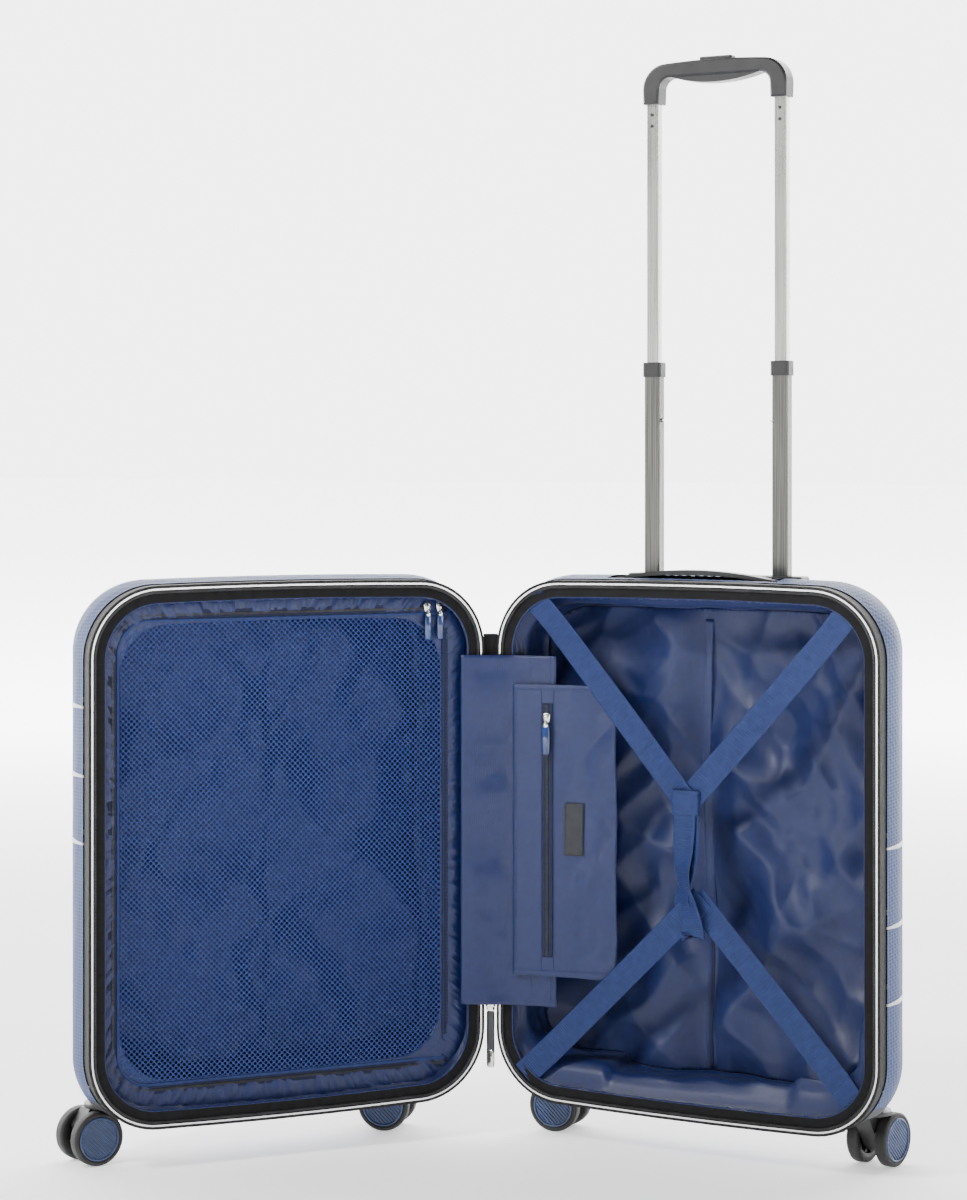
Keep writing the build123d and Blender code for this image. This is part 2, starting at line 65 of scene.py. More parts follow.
# ---------------- sizes, metres
CASE_W = 0.398
CASE_H = 0.505
HALF_DEPTH = 0.104
CORNER = 0.068
CROWN = 0.0035
FLOOR_GAP = 0.036
OPEN_ANGLE = radians(54.64)
HINGE_OFFSET = 0.0065
HINGE = JOINTS["lid_hinge"]["pos_m"]
RIM_Z = FLOOR_GAP + CASE_H / 2
HALF_W = CASE_W / 2
SHELL_PROFILE = [
    (0.0149, 0.001, 0.001), (0.028, 0.0019, 0.0032), (0.041, 0.0016, 0.004), (0.053, -0.0009, 0.0032),
    (0.068, -0.0055, 0.0005), (0.083, -0.0125, -0.005), (0.0945, -0.022, -0.014),
    (0.1015, -0.034, -0.026), (HALF_DEPTH, -0.048, -0.040),
]
LINING_PROFILE = {
    "back": [(0.004, -0.010), (0.014, -0.013), (0.020, -0.017), (0.060, -0.019), (0.067, -0.027)],
    "front": [(0.004, -0.010), (0.016, -0.011), (0.050, -0.014), (0.068, -0.019), (0.083, -0.027), (0.092, -0.039)],
}
SIDE = {"back": 1, "front": -1}
AXES = {
    "back": (np.array([1.0, 0, 0]), np.array([0, 1.0, 0])),
    "front": (np.array([cos(OPEN_ANGLE), sin(OPEN_ANGLE), 0]), np.array([-sin(OPEN_ANGLE), cos(OPEN_ANGLE), 0])),
}
UP = np.array([0, 0, 1.0])
CASTER_HEADINGS = {"front_outer": 244.85, "front_inner": 197.35, "back_inner": 185.25, "back_outer": 81.85}


def to_row(half, a, v, z):
    """Points of a half: a across from its middle, v behind its rim, z above the floor."""
    lx, ly = AXES[half]
    a, v, z = (np.asarray(x, float)[..., None] for x in np.broadcast_arrays(a, v, z))
    across = a + SIDE[half] * (HALF_W + HINGE_OFFSET)
    return np.array([HINGE[0], HINGE[1], 0]) + across * lx + v * ly + z * UP


def across(half, out):
    """Distance from the middle of a half of a place that far out from its hinge edge."""
    return SIDE[half] * (out - HALF_W)


# ---------------- lines of points
def unit(vectors):
    """Vectors scaled to length 1."""
    return vectors / np.linalg.norm(vectors, axis=-1, keepdims=True)


def directions(points, closed=False):
    """Unit tangents along a line of points."""
    if closed:
        return unit(np.roll(points, -1, 0) - np.roll(points, 1, 0))
    return unit(np.gradient(points, axis=0))


def walked(points):
    """How far along a line each of its points is."""
    return np.concatenate([[0], np.cumsum(np.linalg.norm(np.diff(points, axis=0), axis=1))])


def at_steps(table, length, at):
    """Rows of a table read in between its steps."""
    return np.stack([np.interp(at, length, column) for column in table.T], 1)


def smooth_line(knots, at):
    """A smooth curve through knots, read at distances along them."""
    length = walked(knots)
    slopes = np.gradient(knots, length, axis=0)
    k = np.clip(np.searchsorted(length, at) - 1, 0, len(length) - 2)
    span = (length[k + 1] - length[k])[:, None]
    t = (at - length[k])[:, None] / span
    return (knots[k] * (2 * t**3 - 3 * t**2 + 1) + knots[k + 1] * (3 * t**2 - 2 * t**3)
            + span * (slopes[k] * (t**3 - 2 * t**2 + t) + slopes[k + 1] * (t**3 - t**2)))


def through(knots, count):
    """A smooth line through a few points, evenly divided."""
    return smooth_line(knots, np.linspace(0, walked(knots)[-1], count))


# ---------------- mesh helpers
def new_piece(name, verts, faces, material, body, smooth=True):
    """A mesh piece in the row frame, riding on a body."""
    mesh = bpy.data.meshes.new(name)
    mesh.from_pydata([tuple(p) for p in np.asarray(verts).reshape(-1, 3)], [], faces)
    mesh.validate()
    mesh.materials.append(material)
    mesh.polygons.foreach_set("use_smooth", [smooth] * len(mesh.polygons))
    mesh.update()
    piece = bpy.data.objects.new(name, mesh)
    bpy.context.scene.collection.objects.link(piece)
    if body:
        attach(piece, body)
    return piece


def grid_faces(rows, cols, closed_rows=False, closed_cols=False):
    """Quads of a grid of points stored row by row."""
    return [(i * cols + j, i * cols + (j + 1) % cols,
             ((i + 1) % rows) * cols + (j + 1) % cols, ((i + 1) % rows) * cols + j)
            for i in range(rows if closed_rows else rows - 1)
            for j in range(cols if closed_cols else cols - 1)]


def end_caps(rows, cols):
    """The two faces that shut the first and last rows of a closed grid."""
    return [tuple(range(cols)), tuple((rows - 1) * cols + k for k in reversed(range(cols)))]


def dress(piece, slot, *nodes):
    """Hides the nodes that a piece stands for; the slot is not used."""
    if nodes:
        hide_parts(*nodes)
    return piece


def outward(piece):
    """Makes the piece's faces look the same way, outwards."""
    bm = bmesh.new()
    bm.from_mesh(piece.data)
    bmesh.ops.recalc_face_normals(bm, faces=bm.faces)
    bm.to_mesh(piece.data)
    bm.free()
    return piece


def thicken(piece, thickness):
    """Gives a sheet its thickness, half to each side."""
    solid = piece.modifiers.new("thickness", "SOLIDIFY")
    solid.thickness = thickness
    solid.offset = 0
    return piece


def apply_modifiers(piece):
    """Writes the piece's modifiers into its mesh."""
    graph = bpy.context.evaluated_depsgraph_get()
    mesh = bpy.data.meshes.new_from_object(piece.evaluated_get(graph))
    piece.modifiers.clear()
    piece.data = mesh
    return piece


def sweep(name, points, normals, section, material, body, closed=False):
    """Sweeps a section of (across, out) offsets along points; out lies along the given normals."""
    points = np.asarray(points, float)
    tangents = directions(points, closed)
    side = unit(np.cross(tangents, np.broadcast_to(np.asarray(normals, float), points.shape)))
    out = np.cross(side, tangents)
    rings = [[p + s * x + n * y for s, n in section] for p, x, y in zip(points, side, out)]
    faces = grid_faces(len(points), len(section), closed_rows=closed, closed_cols=True)
    if not closed:
        faces += end_caps(len(points), len(section))
    return outward(new_piece(name, rings, faces, material, body))


def oval(width, height, count=16, power=2.6):
    """A rounded box section."""
    turn = np.linspace(0, 2 * pi, count, endpoint=False)
    c, s = np.cos(turn), np.sin(turn)
    return np.stack([np.sign(c) * np.abs(c) ** (2 / power) * width / 2,
                     np.sign(s) * np.abs(s) ** (2 / power) * height / 2], 1)


def join_boxes(name, places, size, material, body, round_size=0.0):
    """Many small equal blocks in one piece: places are (centre, x axis, y axis, z axis)."""
    verts, faces = [], []
    signs = [(-1, -1, -1), (1, -1, -1), (1, 1, -1), (-1, 1, -1), (-1, -1, 1), (1, -1, 1), (1, 1, 1), (-1, 1, 1)]
    block = [(0, 3, 2, 1), (4, 5, 6, 7), (0, 1, 5, 4), (1, 2, 6, 5), (2, 3, 7, 6), (3, 0, 4, 7)]
    for centre, x, y, z in places:
        start = len(verts)
        for i, j, k in signs:
            pinch = 1 - round_size * (k > 0)
            verts.append(centre + x * i * size[0] / 2 * pinch + y * j * size[1] / 2 * pinch + z * k * size[2] / 2)
        faces += [tuple(start + f for f in face) for face in block]
    return new_piece(name, verts, faces, material, body, smooth=False)


def fractal(p, scale, seed=0.0, octaves=3):
    """Smooth repeatable noise, about -1 to 1."""
    return noise.fractal(Vector(p) * scale + Vector((seed, seed * 1.7, -seed)), 1.0, 2.0, octaves)


# ---------------- materials
def node_material(name, color, roughness, metallic=0.0, coat=0.0, sheen=0.0, specular=0.5):
    material = bpy.data.materials.new(name)
    material.use_nodes = True
    shader = material.node_tree.nodes["Principled BSDF"]
    shader.inputs["Base Color"].default_value = (*color, 1)
    shader.inputs["Roughness"].default_value = roughness
    shader.inputs["Metallic"].default_value = metallic
    shader.inputs["Coat Weight"].default_value = coat
    shader.inputs["Sheen Weight"].default_value = sheen
    shader.inputs["Specular IOR Level"].default_value = specular
    return material


def add_node(material, kind, settings=(), links=()):
    """A shader node with input values, and (output, input name) links into it."""
    node = material.node_tree.nodes.new(kind)
    for socket, value in dict(settings).items():
        node.inputs[socket].default_value = value
    for source, socket in links:
        material.node_tree.links.new(source, node.inputs[socket])
    return node


def to_shader(material, output, socket):
    """Links an output into the material's shader."""
    material.node_tree.links.new(output, material.node_tree.nodes["Principled BSDF"].inputs[socket])


def place_node(material, stretch=(1, 1, 1), turn=(0, 0, 0)):
    """Object coordinates, stretched and turned."""
    coords = add_node(material, "ShaderNodeTexCoord")
    mapping = add_node(material, "ShaderNodeMapping", {"Scale": stretch, "Rotation": turn},
                       [(coords.outputs["Object"], "Vector")])
    return mapping.outputs["Vector"]


def noise_node(material, scale, detail=3.0, stretch=(1, 1, 1)):
    """A noise factor in object space."""
    return add_node(material, "ShaderNodeTexNoise", {"Scale": scale, "Detail": detail},
                    [(place_node(material, stretch), "Vector")]).outputs["Fac"]


def wave_node(material, pitch, turn=(0, 0, 0), direction="X"):
    """Bands of the given pitch in metres."""
    node = add_node(material, "ShaderNodeTexWave", {"Scale": 2 * pi / 20 / pitch},
                    [(place_node(material, turn=turn), "Vector")])
    node.bands_direction = direction
    return node.outputs["Fac"]


def combine(material, a, b, operation="ADD"):
    """Two values or outputs through a Math node."""
    node = material.node_tree.nodes.new("ShaderNodeMath")
    node.operation = operation
    for socket, value in zip(node.inputs, (a, b)):
        if isinstance(value, (int, float)):
            socket.default_value = value
        else:
            material.node_tree.links.new(value, socket)
    return node.outputs[0]


def bumped(material, height, distance):
    """Adds a bump from a height value."""
    bump = add_node(material, "ShaderNodeBump", {"Distance": distance, "Strength": 1.0}, [(height, "Height")])
    to_shader(material, bump.outputs["Normal"], "Normal")
    return material


def mottled(material, factor, dark, light, low=0.35, high=0.65):
    """Lets the colour run between two tones along a factor."""
    ramp = add_node(material, "ShaderNodeValToRGB", links=[(factor, "Fac")])
    for stop, position, color in zip(ramp.color_ramp.elements, (low, high), (dark, light)):
        stop.position = position
        stop.color = (*color, 1)
    to_shader(material, ramp.outputs["Color"], "Base Color")
    return material


def span_node(material, factor, settings):
    """A factor run between two values."""
    return add_node(material, "ShaderNodeMapRange", settings, [(factor, "Value")])


def rough_by(material, factor, low, high):
    """Lets the roughness run between two values along a factor."""
    span = span_node(material, factor, {"To Min": low, "To Max": high})
    to_shader(material, span.outputs["Result"], "Roughness")
    return material


def woven(name, dark, light, roughness, pitch=0.0007, depth=0.00012, sheen=0.05, specular=0.28):
    """Plain woven cloth: two crossed sets of threads and a soft change of tone."""
    material = node_material(name, light, roughness, sheen=sheen, specular=specular)
    warp = wave_node(material, pitch, turn=(0, 0, radians(30)), direction="X")
    weft = wave_node(material, pitch, direction="Z")
    threads = combine(material, warp, weft, "MULTIPLY")
    tone = combine(material, noise_node(material, 160, 2), combine(material, threads, 0.35, "MULTIPLY"))
    mottled(material, tone, dark, light, 0.2, 0.95)
    return bumped(material, threads, depth)


def moulded(name, dark, light, roughness, grain=1500, depth=0.00006, coat=0.0):
    """Moulded plastic with a fine grain and slight wear."""
    material = node_material(name, light, roughness, coat=coat)
    mottled(material, noise_node(material, 60, 5), dark, light)
    rough_by(material, noise_node(material, 25, 4), roughness - 0.08, roughness + 0.1)
    return bumped(material, noise_node(material, grain, 2), depth)


def brushed(name, dark, light, roughness):
    """Drawn and anodised aluminium: fine lines along the tube."""
    material = node_material(name, light, roughness, metallic=1.0)
    lines = noise_node(material, 900, 2, stretch=(1, 1, 0.01))
    mottled(material, lines, dark, light)
    rough_by(material, noise_node(material, 40, 4, stretch=(1, 1, 0.2)), roughness - 0.06, roughness + 0.1)
    return bumped(material, lines, 0.00002)


def slanted_bands(material, slope, pitch):
    """Soft bands square to a direction in object space, from -1 to 1."""
    coords = add_node(material, "ShaderNodeTexCoord")
    along = add_node(material, "ShaderNodeVectorMath", {1: slope}, [(coords.outputs["Object"], 0)])
    along.operation = "DOT_PRODUCT"
    return combine(material, combine(material, along.outputs["Value"], 2 * pi / pitch, "MULTIPLY"), 0.0, "SINE")


SHELL_BLUE = node_material("shell_blue", (0.045, 0.08, 0.21), 0.5, specular=0.22)
dashes = combine(SHELL_BLUE, slanted_bands(SHELL_BLUE, (0.889, 0.459, 1.0), 0.0062),
                 slanted_bands(SHELL_BLUE, (0.889, 0.459, -0.8), 0.0051), "MULTIPLY")
shell_tone = combine(SHELL_BLUE, dashes, combine(SHELL_BLUE, noise_node(SHELL_BLUE, 300, 3), 0.25, "MULTIPLY"))
mottled(SHELL_BLUE, shell_tone, (0.038, 0.067, 0.175), (0.012, 0.024, 0.080), 0.20, 0.50)
rough_by(SHELL_BLUE, noise_node(SHELL_BLUE, 30, 5), 0.46, 0.56)
bumped(SHELL_BLUE, combine(SHELL_BLUE, dashes, -0.5, "MULTIPLY"), 0.00012)
SHELL_LINE = moulded("shell_line", (0.50, 0.52, 0.56), (0.62, 0.64, 0.68), 0.4)
BAND_BLACK = node_material("band_black", (0.012, 0.012, 0.012), 0.62, specular=0.2)
mottled(BAND_BLACK, noise_node(BAND_BLACK, 350, 3), (0.006, 0.006, 0.006), (0.022, 0.022, 0.021))
bumped(BAND_BLACK, noise_node(BAND_BLACK, 500, 4), 0.0005)
PIPING = node_material("piping_silver", (0.80, 0.80, 0.82), 0.22, metallic=1.0)
rough_by(PIPING, noise_node(PIPING, 60, 3), 0.16, 0.34)
TAPE_BLACK = woven("tape_black", (0.004, 0.004, 0.0045), (0.010, 0.010, 0.011), 0.8, pitch=0.0012, specular=0.15)
COIL_BLACK = moulded("coil_black", (0.010, 0.010, 0.011), (0.03, 0.03, 0.032), 0.35)
LINING = woven("lining_navy", (0.0034, 0.0095, 0.058), (0.0056, 0.0155, 0.086), 0.35, pitch=0.0009, specular=0.42)
SATIN = woven("satin_navy", (0.0038, 0.0105, 0.062), (0.0062, 0.0170, 0.092), 0.35, pitch=0.0008, specular=0.42)
NETTING = woven("netting_navy", (0.011, 0.028, 0.130), (0.018, 0.046, 0.195), 0.5, pitch=0.0005)
WEBBING = woven("webbing_navy", (0.0070, 0.0175, 0.080), (0.0130, 0.0310, 0.130), 0.55, pitch=0.0011)
ZIP_NAVY = woven("zip_navy", (0.003, 0.006, 0.026), (0.006, 0.011, 0.045), 0.6, sheen=0.05)
BRIGHT_TUBE = brushed("aluminium_bright", (0.40, 0.40, 0.39), (0.56, 0.56, 0.55), 0.26)
DARK_TUBE = brushed("aluminium_dark", (0.085, 0.085, 0.080), (0.160, 0.160, 0.150), 0.34)
PLASTIC_BLACK = moulded("plastic_black", (0.006, 0.006, 0.0065), (0.013, 0.013, 0.014), 0.40)
HOUSING_GREY = moulded("housing_grey", (0.020, 0.021, 0.023), (0.035, 0.037, 0.040), 0.5)
ZINC = node_material("zinc_bright", (0.78, 0.77, 0.74), 0.2, metallic=1.0)
rough_by(ZINC, noise_node(ZINC, 200, 3), 0.14, 0.3)
PULL_BLUE = moulded("pull_blue", (0.008, 0.022, 0.100), (0.016, 0.045, 0.180), 0.2, coat=0.6)
PULL_DARK = moulded("pull_dark", (0.005, 0.006, 0.010), (0.010, 0.012, 0.022), 0.3, coat=0.3)
LABEL_GREY = woven("label_grey", (0.022, 0.024, 0.028), (0.038, 0.041, 0.047), 0.6, pitch=0.0005, sheen=0.05)
TYRE = moulded("tyre_black", (0.007, 0.007, 0.007), (0.020, 0.020, 0.019), 0.62, grain=900)
WHEEL_BLUE = moulded("wheel_blue", (0.018, 0.036, 0.110), (0.028, 0.055, 0.150), 0.36, coat=0.2)
THREAD = woven("thread_navy", (0.010, 0.022, 0.085), (0.020, 0.040, 0.140), 0.6, sheen=0.05)


def paint(material, *names):
    """Gives carried-over nodes a finish."""
    for name in names:
        mesh = NODES[name].data
        mesh.materials.clear()
        mesh.materials.append(material)


def soften(width, *names):
    """Rounds the edges of carried-over nodes."""
    for name in names:
        bevel = NODES[name].modifiers.new("edge", "BEVEL")
        bevel.width = width
        bevel.segments = 3
        bevel.limit_method = "ANGLE"
        bevel.harden_normals = False


# ---------------- camera, floor and light
VIEW_TURN = radians(29.85)
camera_data = bpy.data.cameras.new("camera")
camera_data.lens = 88.1
camera_data.sensor_width = 36
camera_data.shift_y = -0.1325
camera = bpy.data.objects.new("camera", camera_data)
bpy.context.scene.collection.objects.link(camera)
camera_away = 2.851
camera_aside = -0.0069
camera.location = (HINGE[0] + camera_aside * cos(VIEW_TURN) + camera_away * sin(VIEW_TURN),
                   HINGE[1] + camera_aside * sin(VIEW_TURN) - camera_away * cos(VIEW_TURN), 0.673)
camera.rotation_euler = (pi / 2, 0, VIEW_TURN)
bpy.context.scene.camera = camera

def glowing(name, color, roughness, specular, strength):
    """A staging material that gives off white light."""
    material = node_material(name, color, roughness, specular=specular)
    shader = material.node_tree.nodes["Principled BSDF"]
    shader.inputs["Emission Color"].default_value = (1, 1, 1, 1)
    shader.inputs["Emission Strength"].default_value = strength
    return material


SET_WHITE = 5.0
FLOOR_REACH = 40
FLOOR_WHITE = glowing("floor", (0.90, 0.90, 0.90), 0.9, 0.1, 0.6)
far_off = add_node(FLOOR_WHITE, "ShaderNodeVectorMath", links=[(place_node(FLOOR_WHITE), 0)])
far_off.operation = "LENGTH"
glow = span_node(FLOOR_WHITE, far_off.outputs["Value"],
                 {"From Min": 1.3, "From Max": 5.5, "To Min": 0.6, "To Max": SET_WHITE})
glow.interpolation_type = "SMOOTHSTEP"
to_shader(FLOOR_WHITE, glow.outputs["Result"], "Emission Strength")
floor_corners = [(x * FLOOR_REACH, y * FLOOR_REACH, 0) for x, y in ((-1, -1), (1, -1), (1, 1), (-1, 1))]
floor = new_piece("floor", floor_corners, [(0, 1, 2, 3)], FLOOR_WHITE, None)
BACKDROP_WHITE = glowing("backdrop", (1, 1, 1), 1.0, 0.5, SET_WHITE)
across_view = np.array([cos(VIEW_TURN), sin(VIEW_TURN), 0])
away = np.array([-sin(VIEW_TURN), cos(VIEW_TURN), 0])
corners = [away * 4.2 + across_view * s * 7 + UP * h for s, h in ((-1, -0.1), (1, -0.1), (1, 7), (-1, 7))]
backdrop = new_piece("backdrop", corners, [(0, 1, 2, 3)], BACKDROP_WHITE, None)
backdrop.visible_camera = False


def area_light(name, place, target, size, power):
    """A soft square light aimed at a point."""
    data = bpy.data.lights.new(name, "AREA")
    data.size = size
    data.energy = power
    light = bpy.data.objects.new(name, data)
    light.location = place
    aim = Vector(target) - Vector(place)
    light.rotation_euler = aim.to_track_quat("-Z", "Y").to_euler()
    bpy.context.scene.collection.objects.link(light)


middle = (0, 0, 0.35)
area_light("key", (-1.1, -2.2, 2.7), middle, 0.8, 115)
area_light("left", (-2.7, -0.9, 1.0), middle, 0.9, 30)
area_light("right", (2.7, 0.1, 1.5), middle, 1.1, 30)
area_light("back", (0.3, 2.6, 2.6), middle, 2.0, 38)
world = bpy.data.worlds.new("world")
world.use_nodes = True
sky = world.node_tree.nodes["Background"]
sky.inputs["Color"].default_value = (1, 1, 1, 1)
ray_kind = add_node(world, "ShaderNodeLightPath")
sky_level = span_node(world, ray_kind.outputs["Is Camera Ray"], {"To Min": 0.34, "To Max": SET_WHITE})
world.node_tree.links.new(sky_level.outputs["Result"], sky.inputs["Strength"])
bpy.context.scene.world = world


# ---------------- outlines
def outline(side_swell, end_swell, step=0.0023):
    """The case's outline as (across, height from the rim's middle) points, clockwise from the top left."""
    w = HALF_W + side_swell
    h = CASE_H / 2 + end_swell
    r = CORNER + min(side_swell, end_swell)
    drop = CROWN * ((w - r) / w) ** 2
    n_top = ceil((CASE_W - 2 * CORNER) / step)
    n_side = ceil((CASE_H - 2 * CORNER) / step)
    n_corner = ceil(CORNER * pi / 2 / step)
    a = np.linspace(r - w, w - r, n_top, endpoint=False)
    top = np.stack([a, h - CROWN * (a / w) ** 2], 1)
    turn = np.linspace(0, pi / 2, n_corner, endpoint=False)
    corner = np.stack([w - r + r * np.sin(turn), h - drop - r + r * np.cos(turn)], 1)
    z = np.linspace(h - drop - r, r + drop - h, n_side, endpoint=False)
    right = np.stack([np.full(n_side, w), z], 1)
    turn = turn + pi / 2
    low_corner = np.stack([w - r + r * np.sin(turn), r + drop - h + r * np.cos(turn)], 1)
    half = np.concatenate([top, corner, right, low_corner])
    return np.concatenate([half, -half])


def smooth_profile(profile, step):
    """A profile's sections, filled in evenly along its length, and how far along each is."""
    table = np.array(profile, float)
    length = walked(table)[-1]
    at = np.linspace(0, length, ceil(length / step) + 1)
    return smooth_line(table, at), at


def cut_box(piece, half, *spans):
    """Cuts a clean box-shaped gap, by its spans across, behind and up, out of a piece that belongs to a half."""
    axes = (*AXES[half], UP)
    middle_of_half = to_row(half, 0, 0, 0)
    bm = bmesh.new()
    bm.from_mesh(piece.data)
    for axis, span in zip(axes, spans):
        for value in span:
            bmesh.ops.bisect_plane(bm, geom=bm.verts[:] + bm.edges[:] + bm.faces[:], dist=1e-7,
                                   plane_co=middle_of_half + axis * value, plane_no=axis)
    gone = []
    for face in bm.faces:
        place = np.array(face.calc_center_median()) - middle_of_half
        if all(low < place @ axis < high for axis, (low, high) in zip(axes, spans)):
            gone.append(face)
    bmesh.ops.delete(bm, geom=gone, context="FACES")
    bm.to_mesh(piece.data)
    bm.free()


# ---------------- shells
RIB_PITCH = 0.0088
RIB_HEIGHT = 0.0007
HOUSING_ROOM = 0.0641
CASTER_OUT = {"inner": (0.0, 0.1068), "outer": (0.3122, CASE_W)}


def rib(phase):
    """Height of a moulded rib: a rounded ridge and a narrow valley."""
    return RIB_HEIGHT * (np.abs(np.cos(pi * phase)) ** 0.7 - 0.75)


def build_shell(half):
    """A half's moulded shell with its fine ribs, open at the wheel housings."""
    sections, depth_along = smooth_profile(SHELL_PROFILE, 0.0021)
    loops = [outline(s, e) for _, s, e in sections]
    count = len(loops[0])
    wall_rows = len(sections)
    reference = outline(0, 0)
    around = walked(reference)
    shrink = np.linspace(1, 0.02, 72)[1:]
    loops += [loops[-1] * k for k in shrink]
    depths = np.concatenate([sections[:, 0], np.full(len(shrink), HALF_DEPTH)])
    a, z = np.moveaxis(np.array(loops), 2, 0)
    points = to_row(half, a, np.repeat(depths[:, None], count, 1), z + RIM_Z)
    normals = np.cross(np.roll(points, -1, 1) - np.roll(points, 1, 1), np.gradient(points, axis=0))
    normals /= np.maximum(np.linalg.norm(normals, axis=2), 1e-12)[..., None]
    if ((points[5, 40] - to_row(half, 0, 0.05, RIM_Z)) @ normals[5, 40]) < 0:
        normals = -normals
    height = rib((a + z) / RIB_PITCH / 1.414)
    side_phase = (depth_along[:, None] - around[None, :] * SIDE[half]) / RIB_PITCH
    height[:wall_rows] = rib(side_phase)
    if half == "front":
        crossing = rib((depth_along[:, None] + around[None, :]) / RIB_PITCH * 1.25)
        height[:wall_rows] = (rib(side_phase * 1.25) + crossing) / 1.6
    row = np.arange(len(loops))
    edge = np.minimum(row / 3, 1) * np.clip(np.abs(row - wall_rows) / 3, 0, 1)
    points = points + normals * (height * edge[:, None])[..., None]
    faces = grid_faces(len(loops), count, closed_cols=True)
    faces.append(tuple((len(loops) - 1) * count + k for k in range(count)))
    shell = outward(new_piece(f"{half}_shell_moulding", points, faces, SHELL_BLUE, f"{half}_half"))
    for low, high in CASTER_OUT.values():
        span = sorted((across(half, low - 0.02 * (low == 0)), across(half, high + 0.02 * (high == CASE_W))))
        cut_box(shell, half, span, (0.0, 0.12), (0.0, HOUSING_ROOM))
    if half == "back":
        cut_box(shell, half, (-0.0921, 0.0921), (0.0659, 0.0921), (0.5, 0.56))
        cut_box(shell, half, (-0.0881, 0.0881), (0.0199, 0.0441), (0.5, 0.56))
    dress(shell, "shell_blue", f"{half}_shell")


def build_shell_lines(half, heights):
    """Raised pale lines that wrap each side of the shell and run out on the rear panel."""
    sections, _ = smooth_profile(SHELL_PROFILE, 0.003)
    rings = []
    faces = []
    for height in heights:
        for sign in (-1, 1):
            path = [(sign * (HALF_W + s), d) for d, s, _ in sections]
            path += [(sign * (HALF_W - 0.048 - k), HALF_DEPTH) for k in np.linspace(0.003, 0.055, 18)]
            path = np.array(path)
            tangent = directions(path)
            normal = np.stack([tangent[:, 1], -tangent[:, 0]], 1) * sign
            start = len(rings)
            total = len(path)
            for i, (p, n) in enumerate(zip(path, normal)):
                taper = min(1, 0.45 + i / 14) * min(1, (total - 1 - i) / 12 + 0.12)
                half_width = 0.0024 * taper
                for dz, rise in ((-half_width, -0.0010), (-half_width * 0.8, 0.0006),
                                 (half_width * 0.8, 0.0006), (half_width, -0.0010)):
                    q = p + n * rise
                    rings.append(to_row(half, q[0], q[1], height + dz))
            faces += [tuple(start + k for k in face)
                      for face in grid_faces(total, 4, closed_cols=True) + end_caps(total, 4)]
    lines = outward(new_piece(f"{half}_shell_lines", rings, faces, SHELL_LINE, f"{half}_half"))
    dress(lines, "shell_blue")


build_shell("back")
build_shell("front")
build_shell_lines("back", (0.303, 0.231, 0.161))
build_shell_lines("front", (0.4285, 0.365, 0.303))

# ---------------- rims
def teeth_along(name, half, run_points, v, size, pinch):
    """Zip teeth set square to a run of (across, height) points."""
    lx, ly = AXES[half]
    places = []
    for (a, z), (ta, tz) in zip(*run_points):
        run = lx * ta + UP * tz
        places.append((to_row(half, a, v, z), np.cross(run, ly), run, -ly))
    return join_boxes(name, places, size, COIL_BLACK, f"{half}_half", pinch)


for half in ("back", "front"):
    for material, part, rounding in ((BAND_BLACK, "rim_band", 0.0008), (PIPING, "piping", 0.0006),
                                     (HOUSING_GREY, "wheel_housings", 0.0012)):
        paint(material, f"{half}_{part}")
        soften(rounding, f"{half}_{part}")
    paint(TAPE_BLACK, f"{half}_zip_tape")
    loop = outline(-0.0062, -0.0062, 0.0013)
    teeth = teeth_along(f"{half}_zip_coil", half, (loop + (0, RIM_Z), directions(loop, closed=True)), 0.00145,
                        (0.0028, 0.0009, 0.0019), 0.25)
    dress(teeth, "tape_black", f"{half}_zip_teeth")

# ---------------- linings
HOUSING_TOP = 0.0672
HOUSING_EDGES = (0.1098, 0.3088)
HOUSING_FACE = {"back": 0.0118, "front": 0.0150}
LINING_CLEAR = {"back": 0.0125, "front": 0.0188}


def in_outline(a, z, swell):
    """True inside the case's outline moved in by -swell; z is from the rim's middle."""
    r = CORNER + swell
    x = abs(a) - (HALF_W + swell - r)
    y = abs(z) - (CASE_H / 2 + swell - CROWN * (a / HALF_W) ** 2 - r)
    if x > 0 and y > 0:
        return x * x + y * y < r * r
    return x < r and y < r


def bag_mesh(half, step):
    """A lining bag's (across, behind, height) points and faces: rings down its wall, then an even back panel."""
    table, _ = smooth_profile(LINING_PROFILE[half], step)
    rings = [outline(swell, swell, step) for _, swell in table]
    count = len(rings[0])
    points = [(a, depth, z) for (depth, _), ring in zip(table, rings) for a, z in ring]
    faces = grid_faces(len(table), count, closed_cols=True)
    edge = [Vector((a, z)) for a, z in rings[-1]]
    swell = table[-1][1] - step * 0.7
    inner = []
    for row, z in enumerate(np.arange(-CASE_H / 2, CASE_H / 2, step * 0.87)):
        for a in np.arange(-HALF_W, HALF_W, step) + (row % 2) * step / 2:
            if in_outline(a, z, swell):
                inner.append(Vector((a, z)))
    result = geometry.delaunay_2d_cdt(edge + inner, [], [list(range(count))], 1, 1e-6, True)
    first = len(points) - count
    points += [(p.x, table[-1][0], p.y) for p in inner]
    source = [first + ids[0] for ids in result[3]]
    faces += [tuple(source[k] for k in face) for face in result[2]]
    return np.array(points), faces, count


def over_housings(half, a, v, z):
    """Lifts a lining over the wheel housings in the lower corners, easing out above them."""
    out = a * SIDE[half] + HALF_W
    near = np.clip(np.clip((0.124 - out) / 0.014, 0, 1) + np.clip((out - 0.295) / 0.014, 0, 1), 0.6, 1)
    deep = np.clip((v - (0.007 if half == "back" else 0.0125)) / 0.006, 0, 1)
    low = FLOOR_GAP + 0.012
    return z + (HOUSING_TOP - low) * near * deep * np.clip(1 - (z - low) / 0.09, 0, 1)


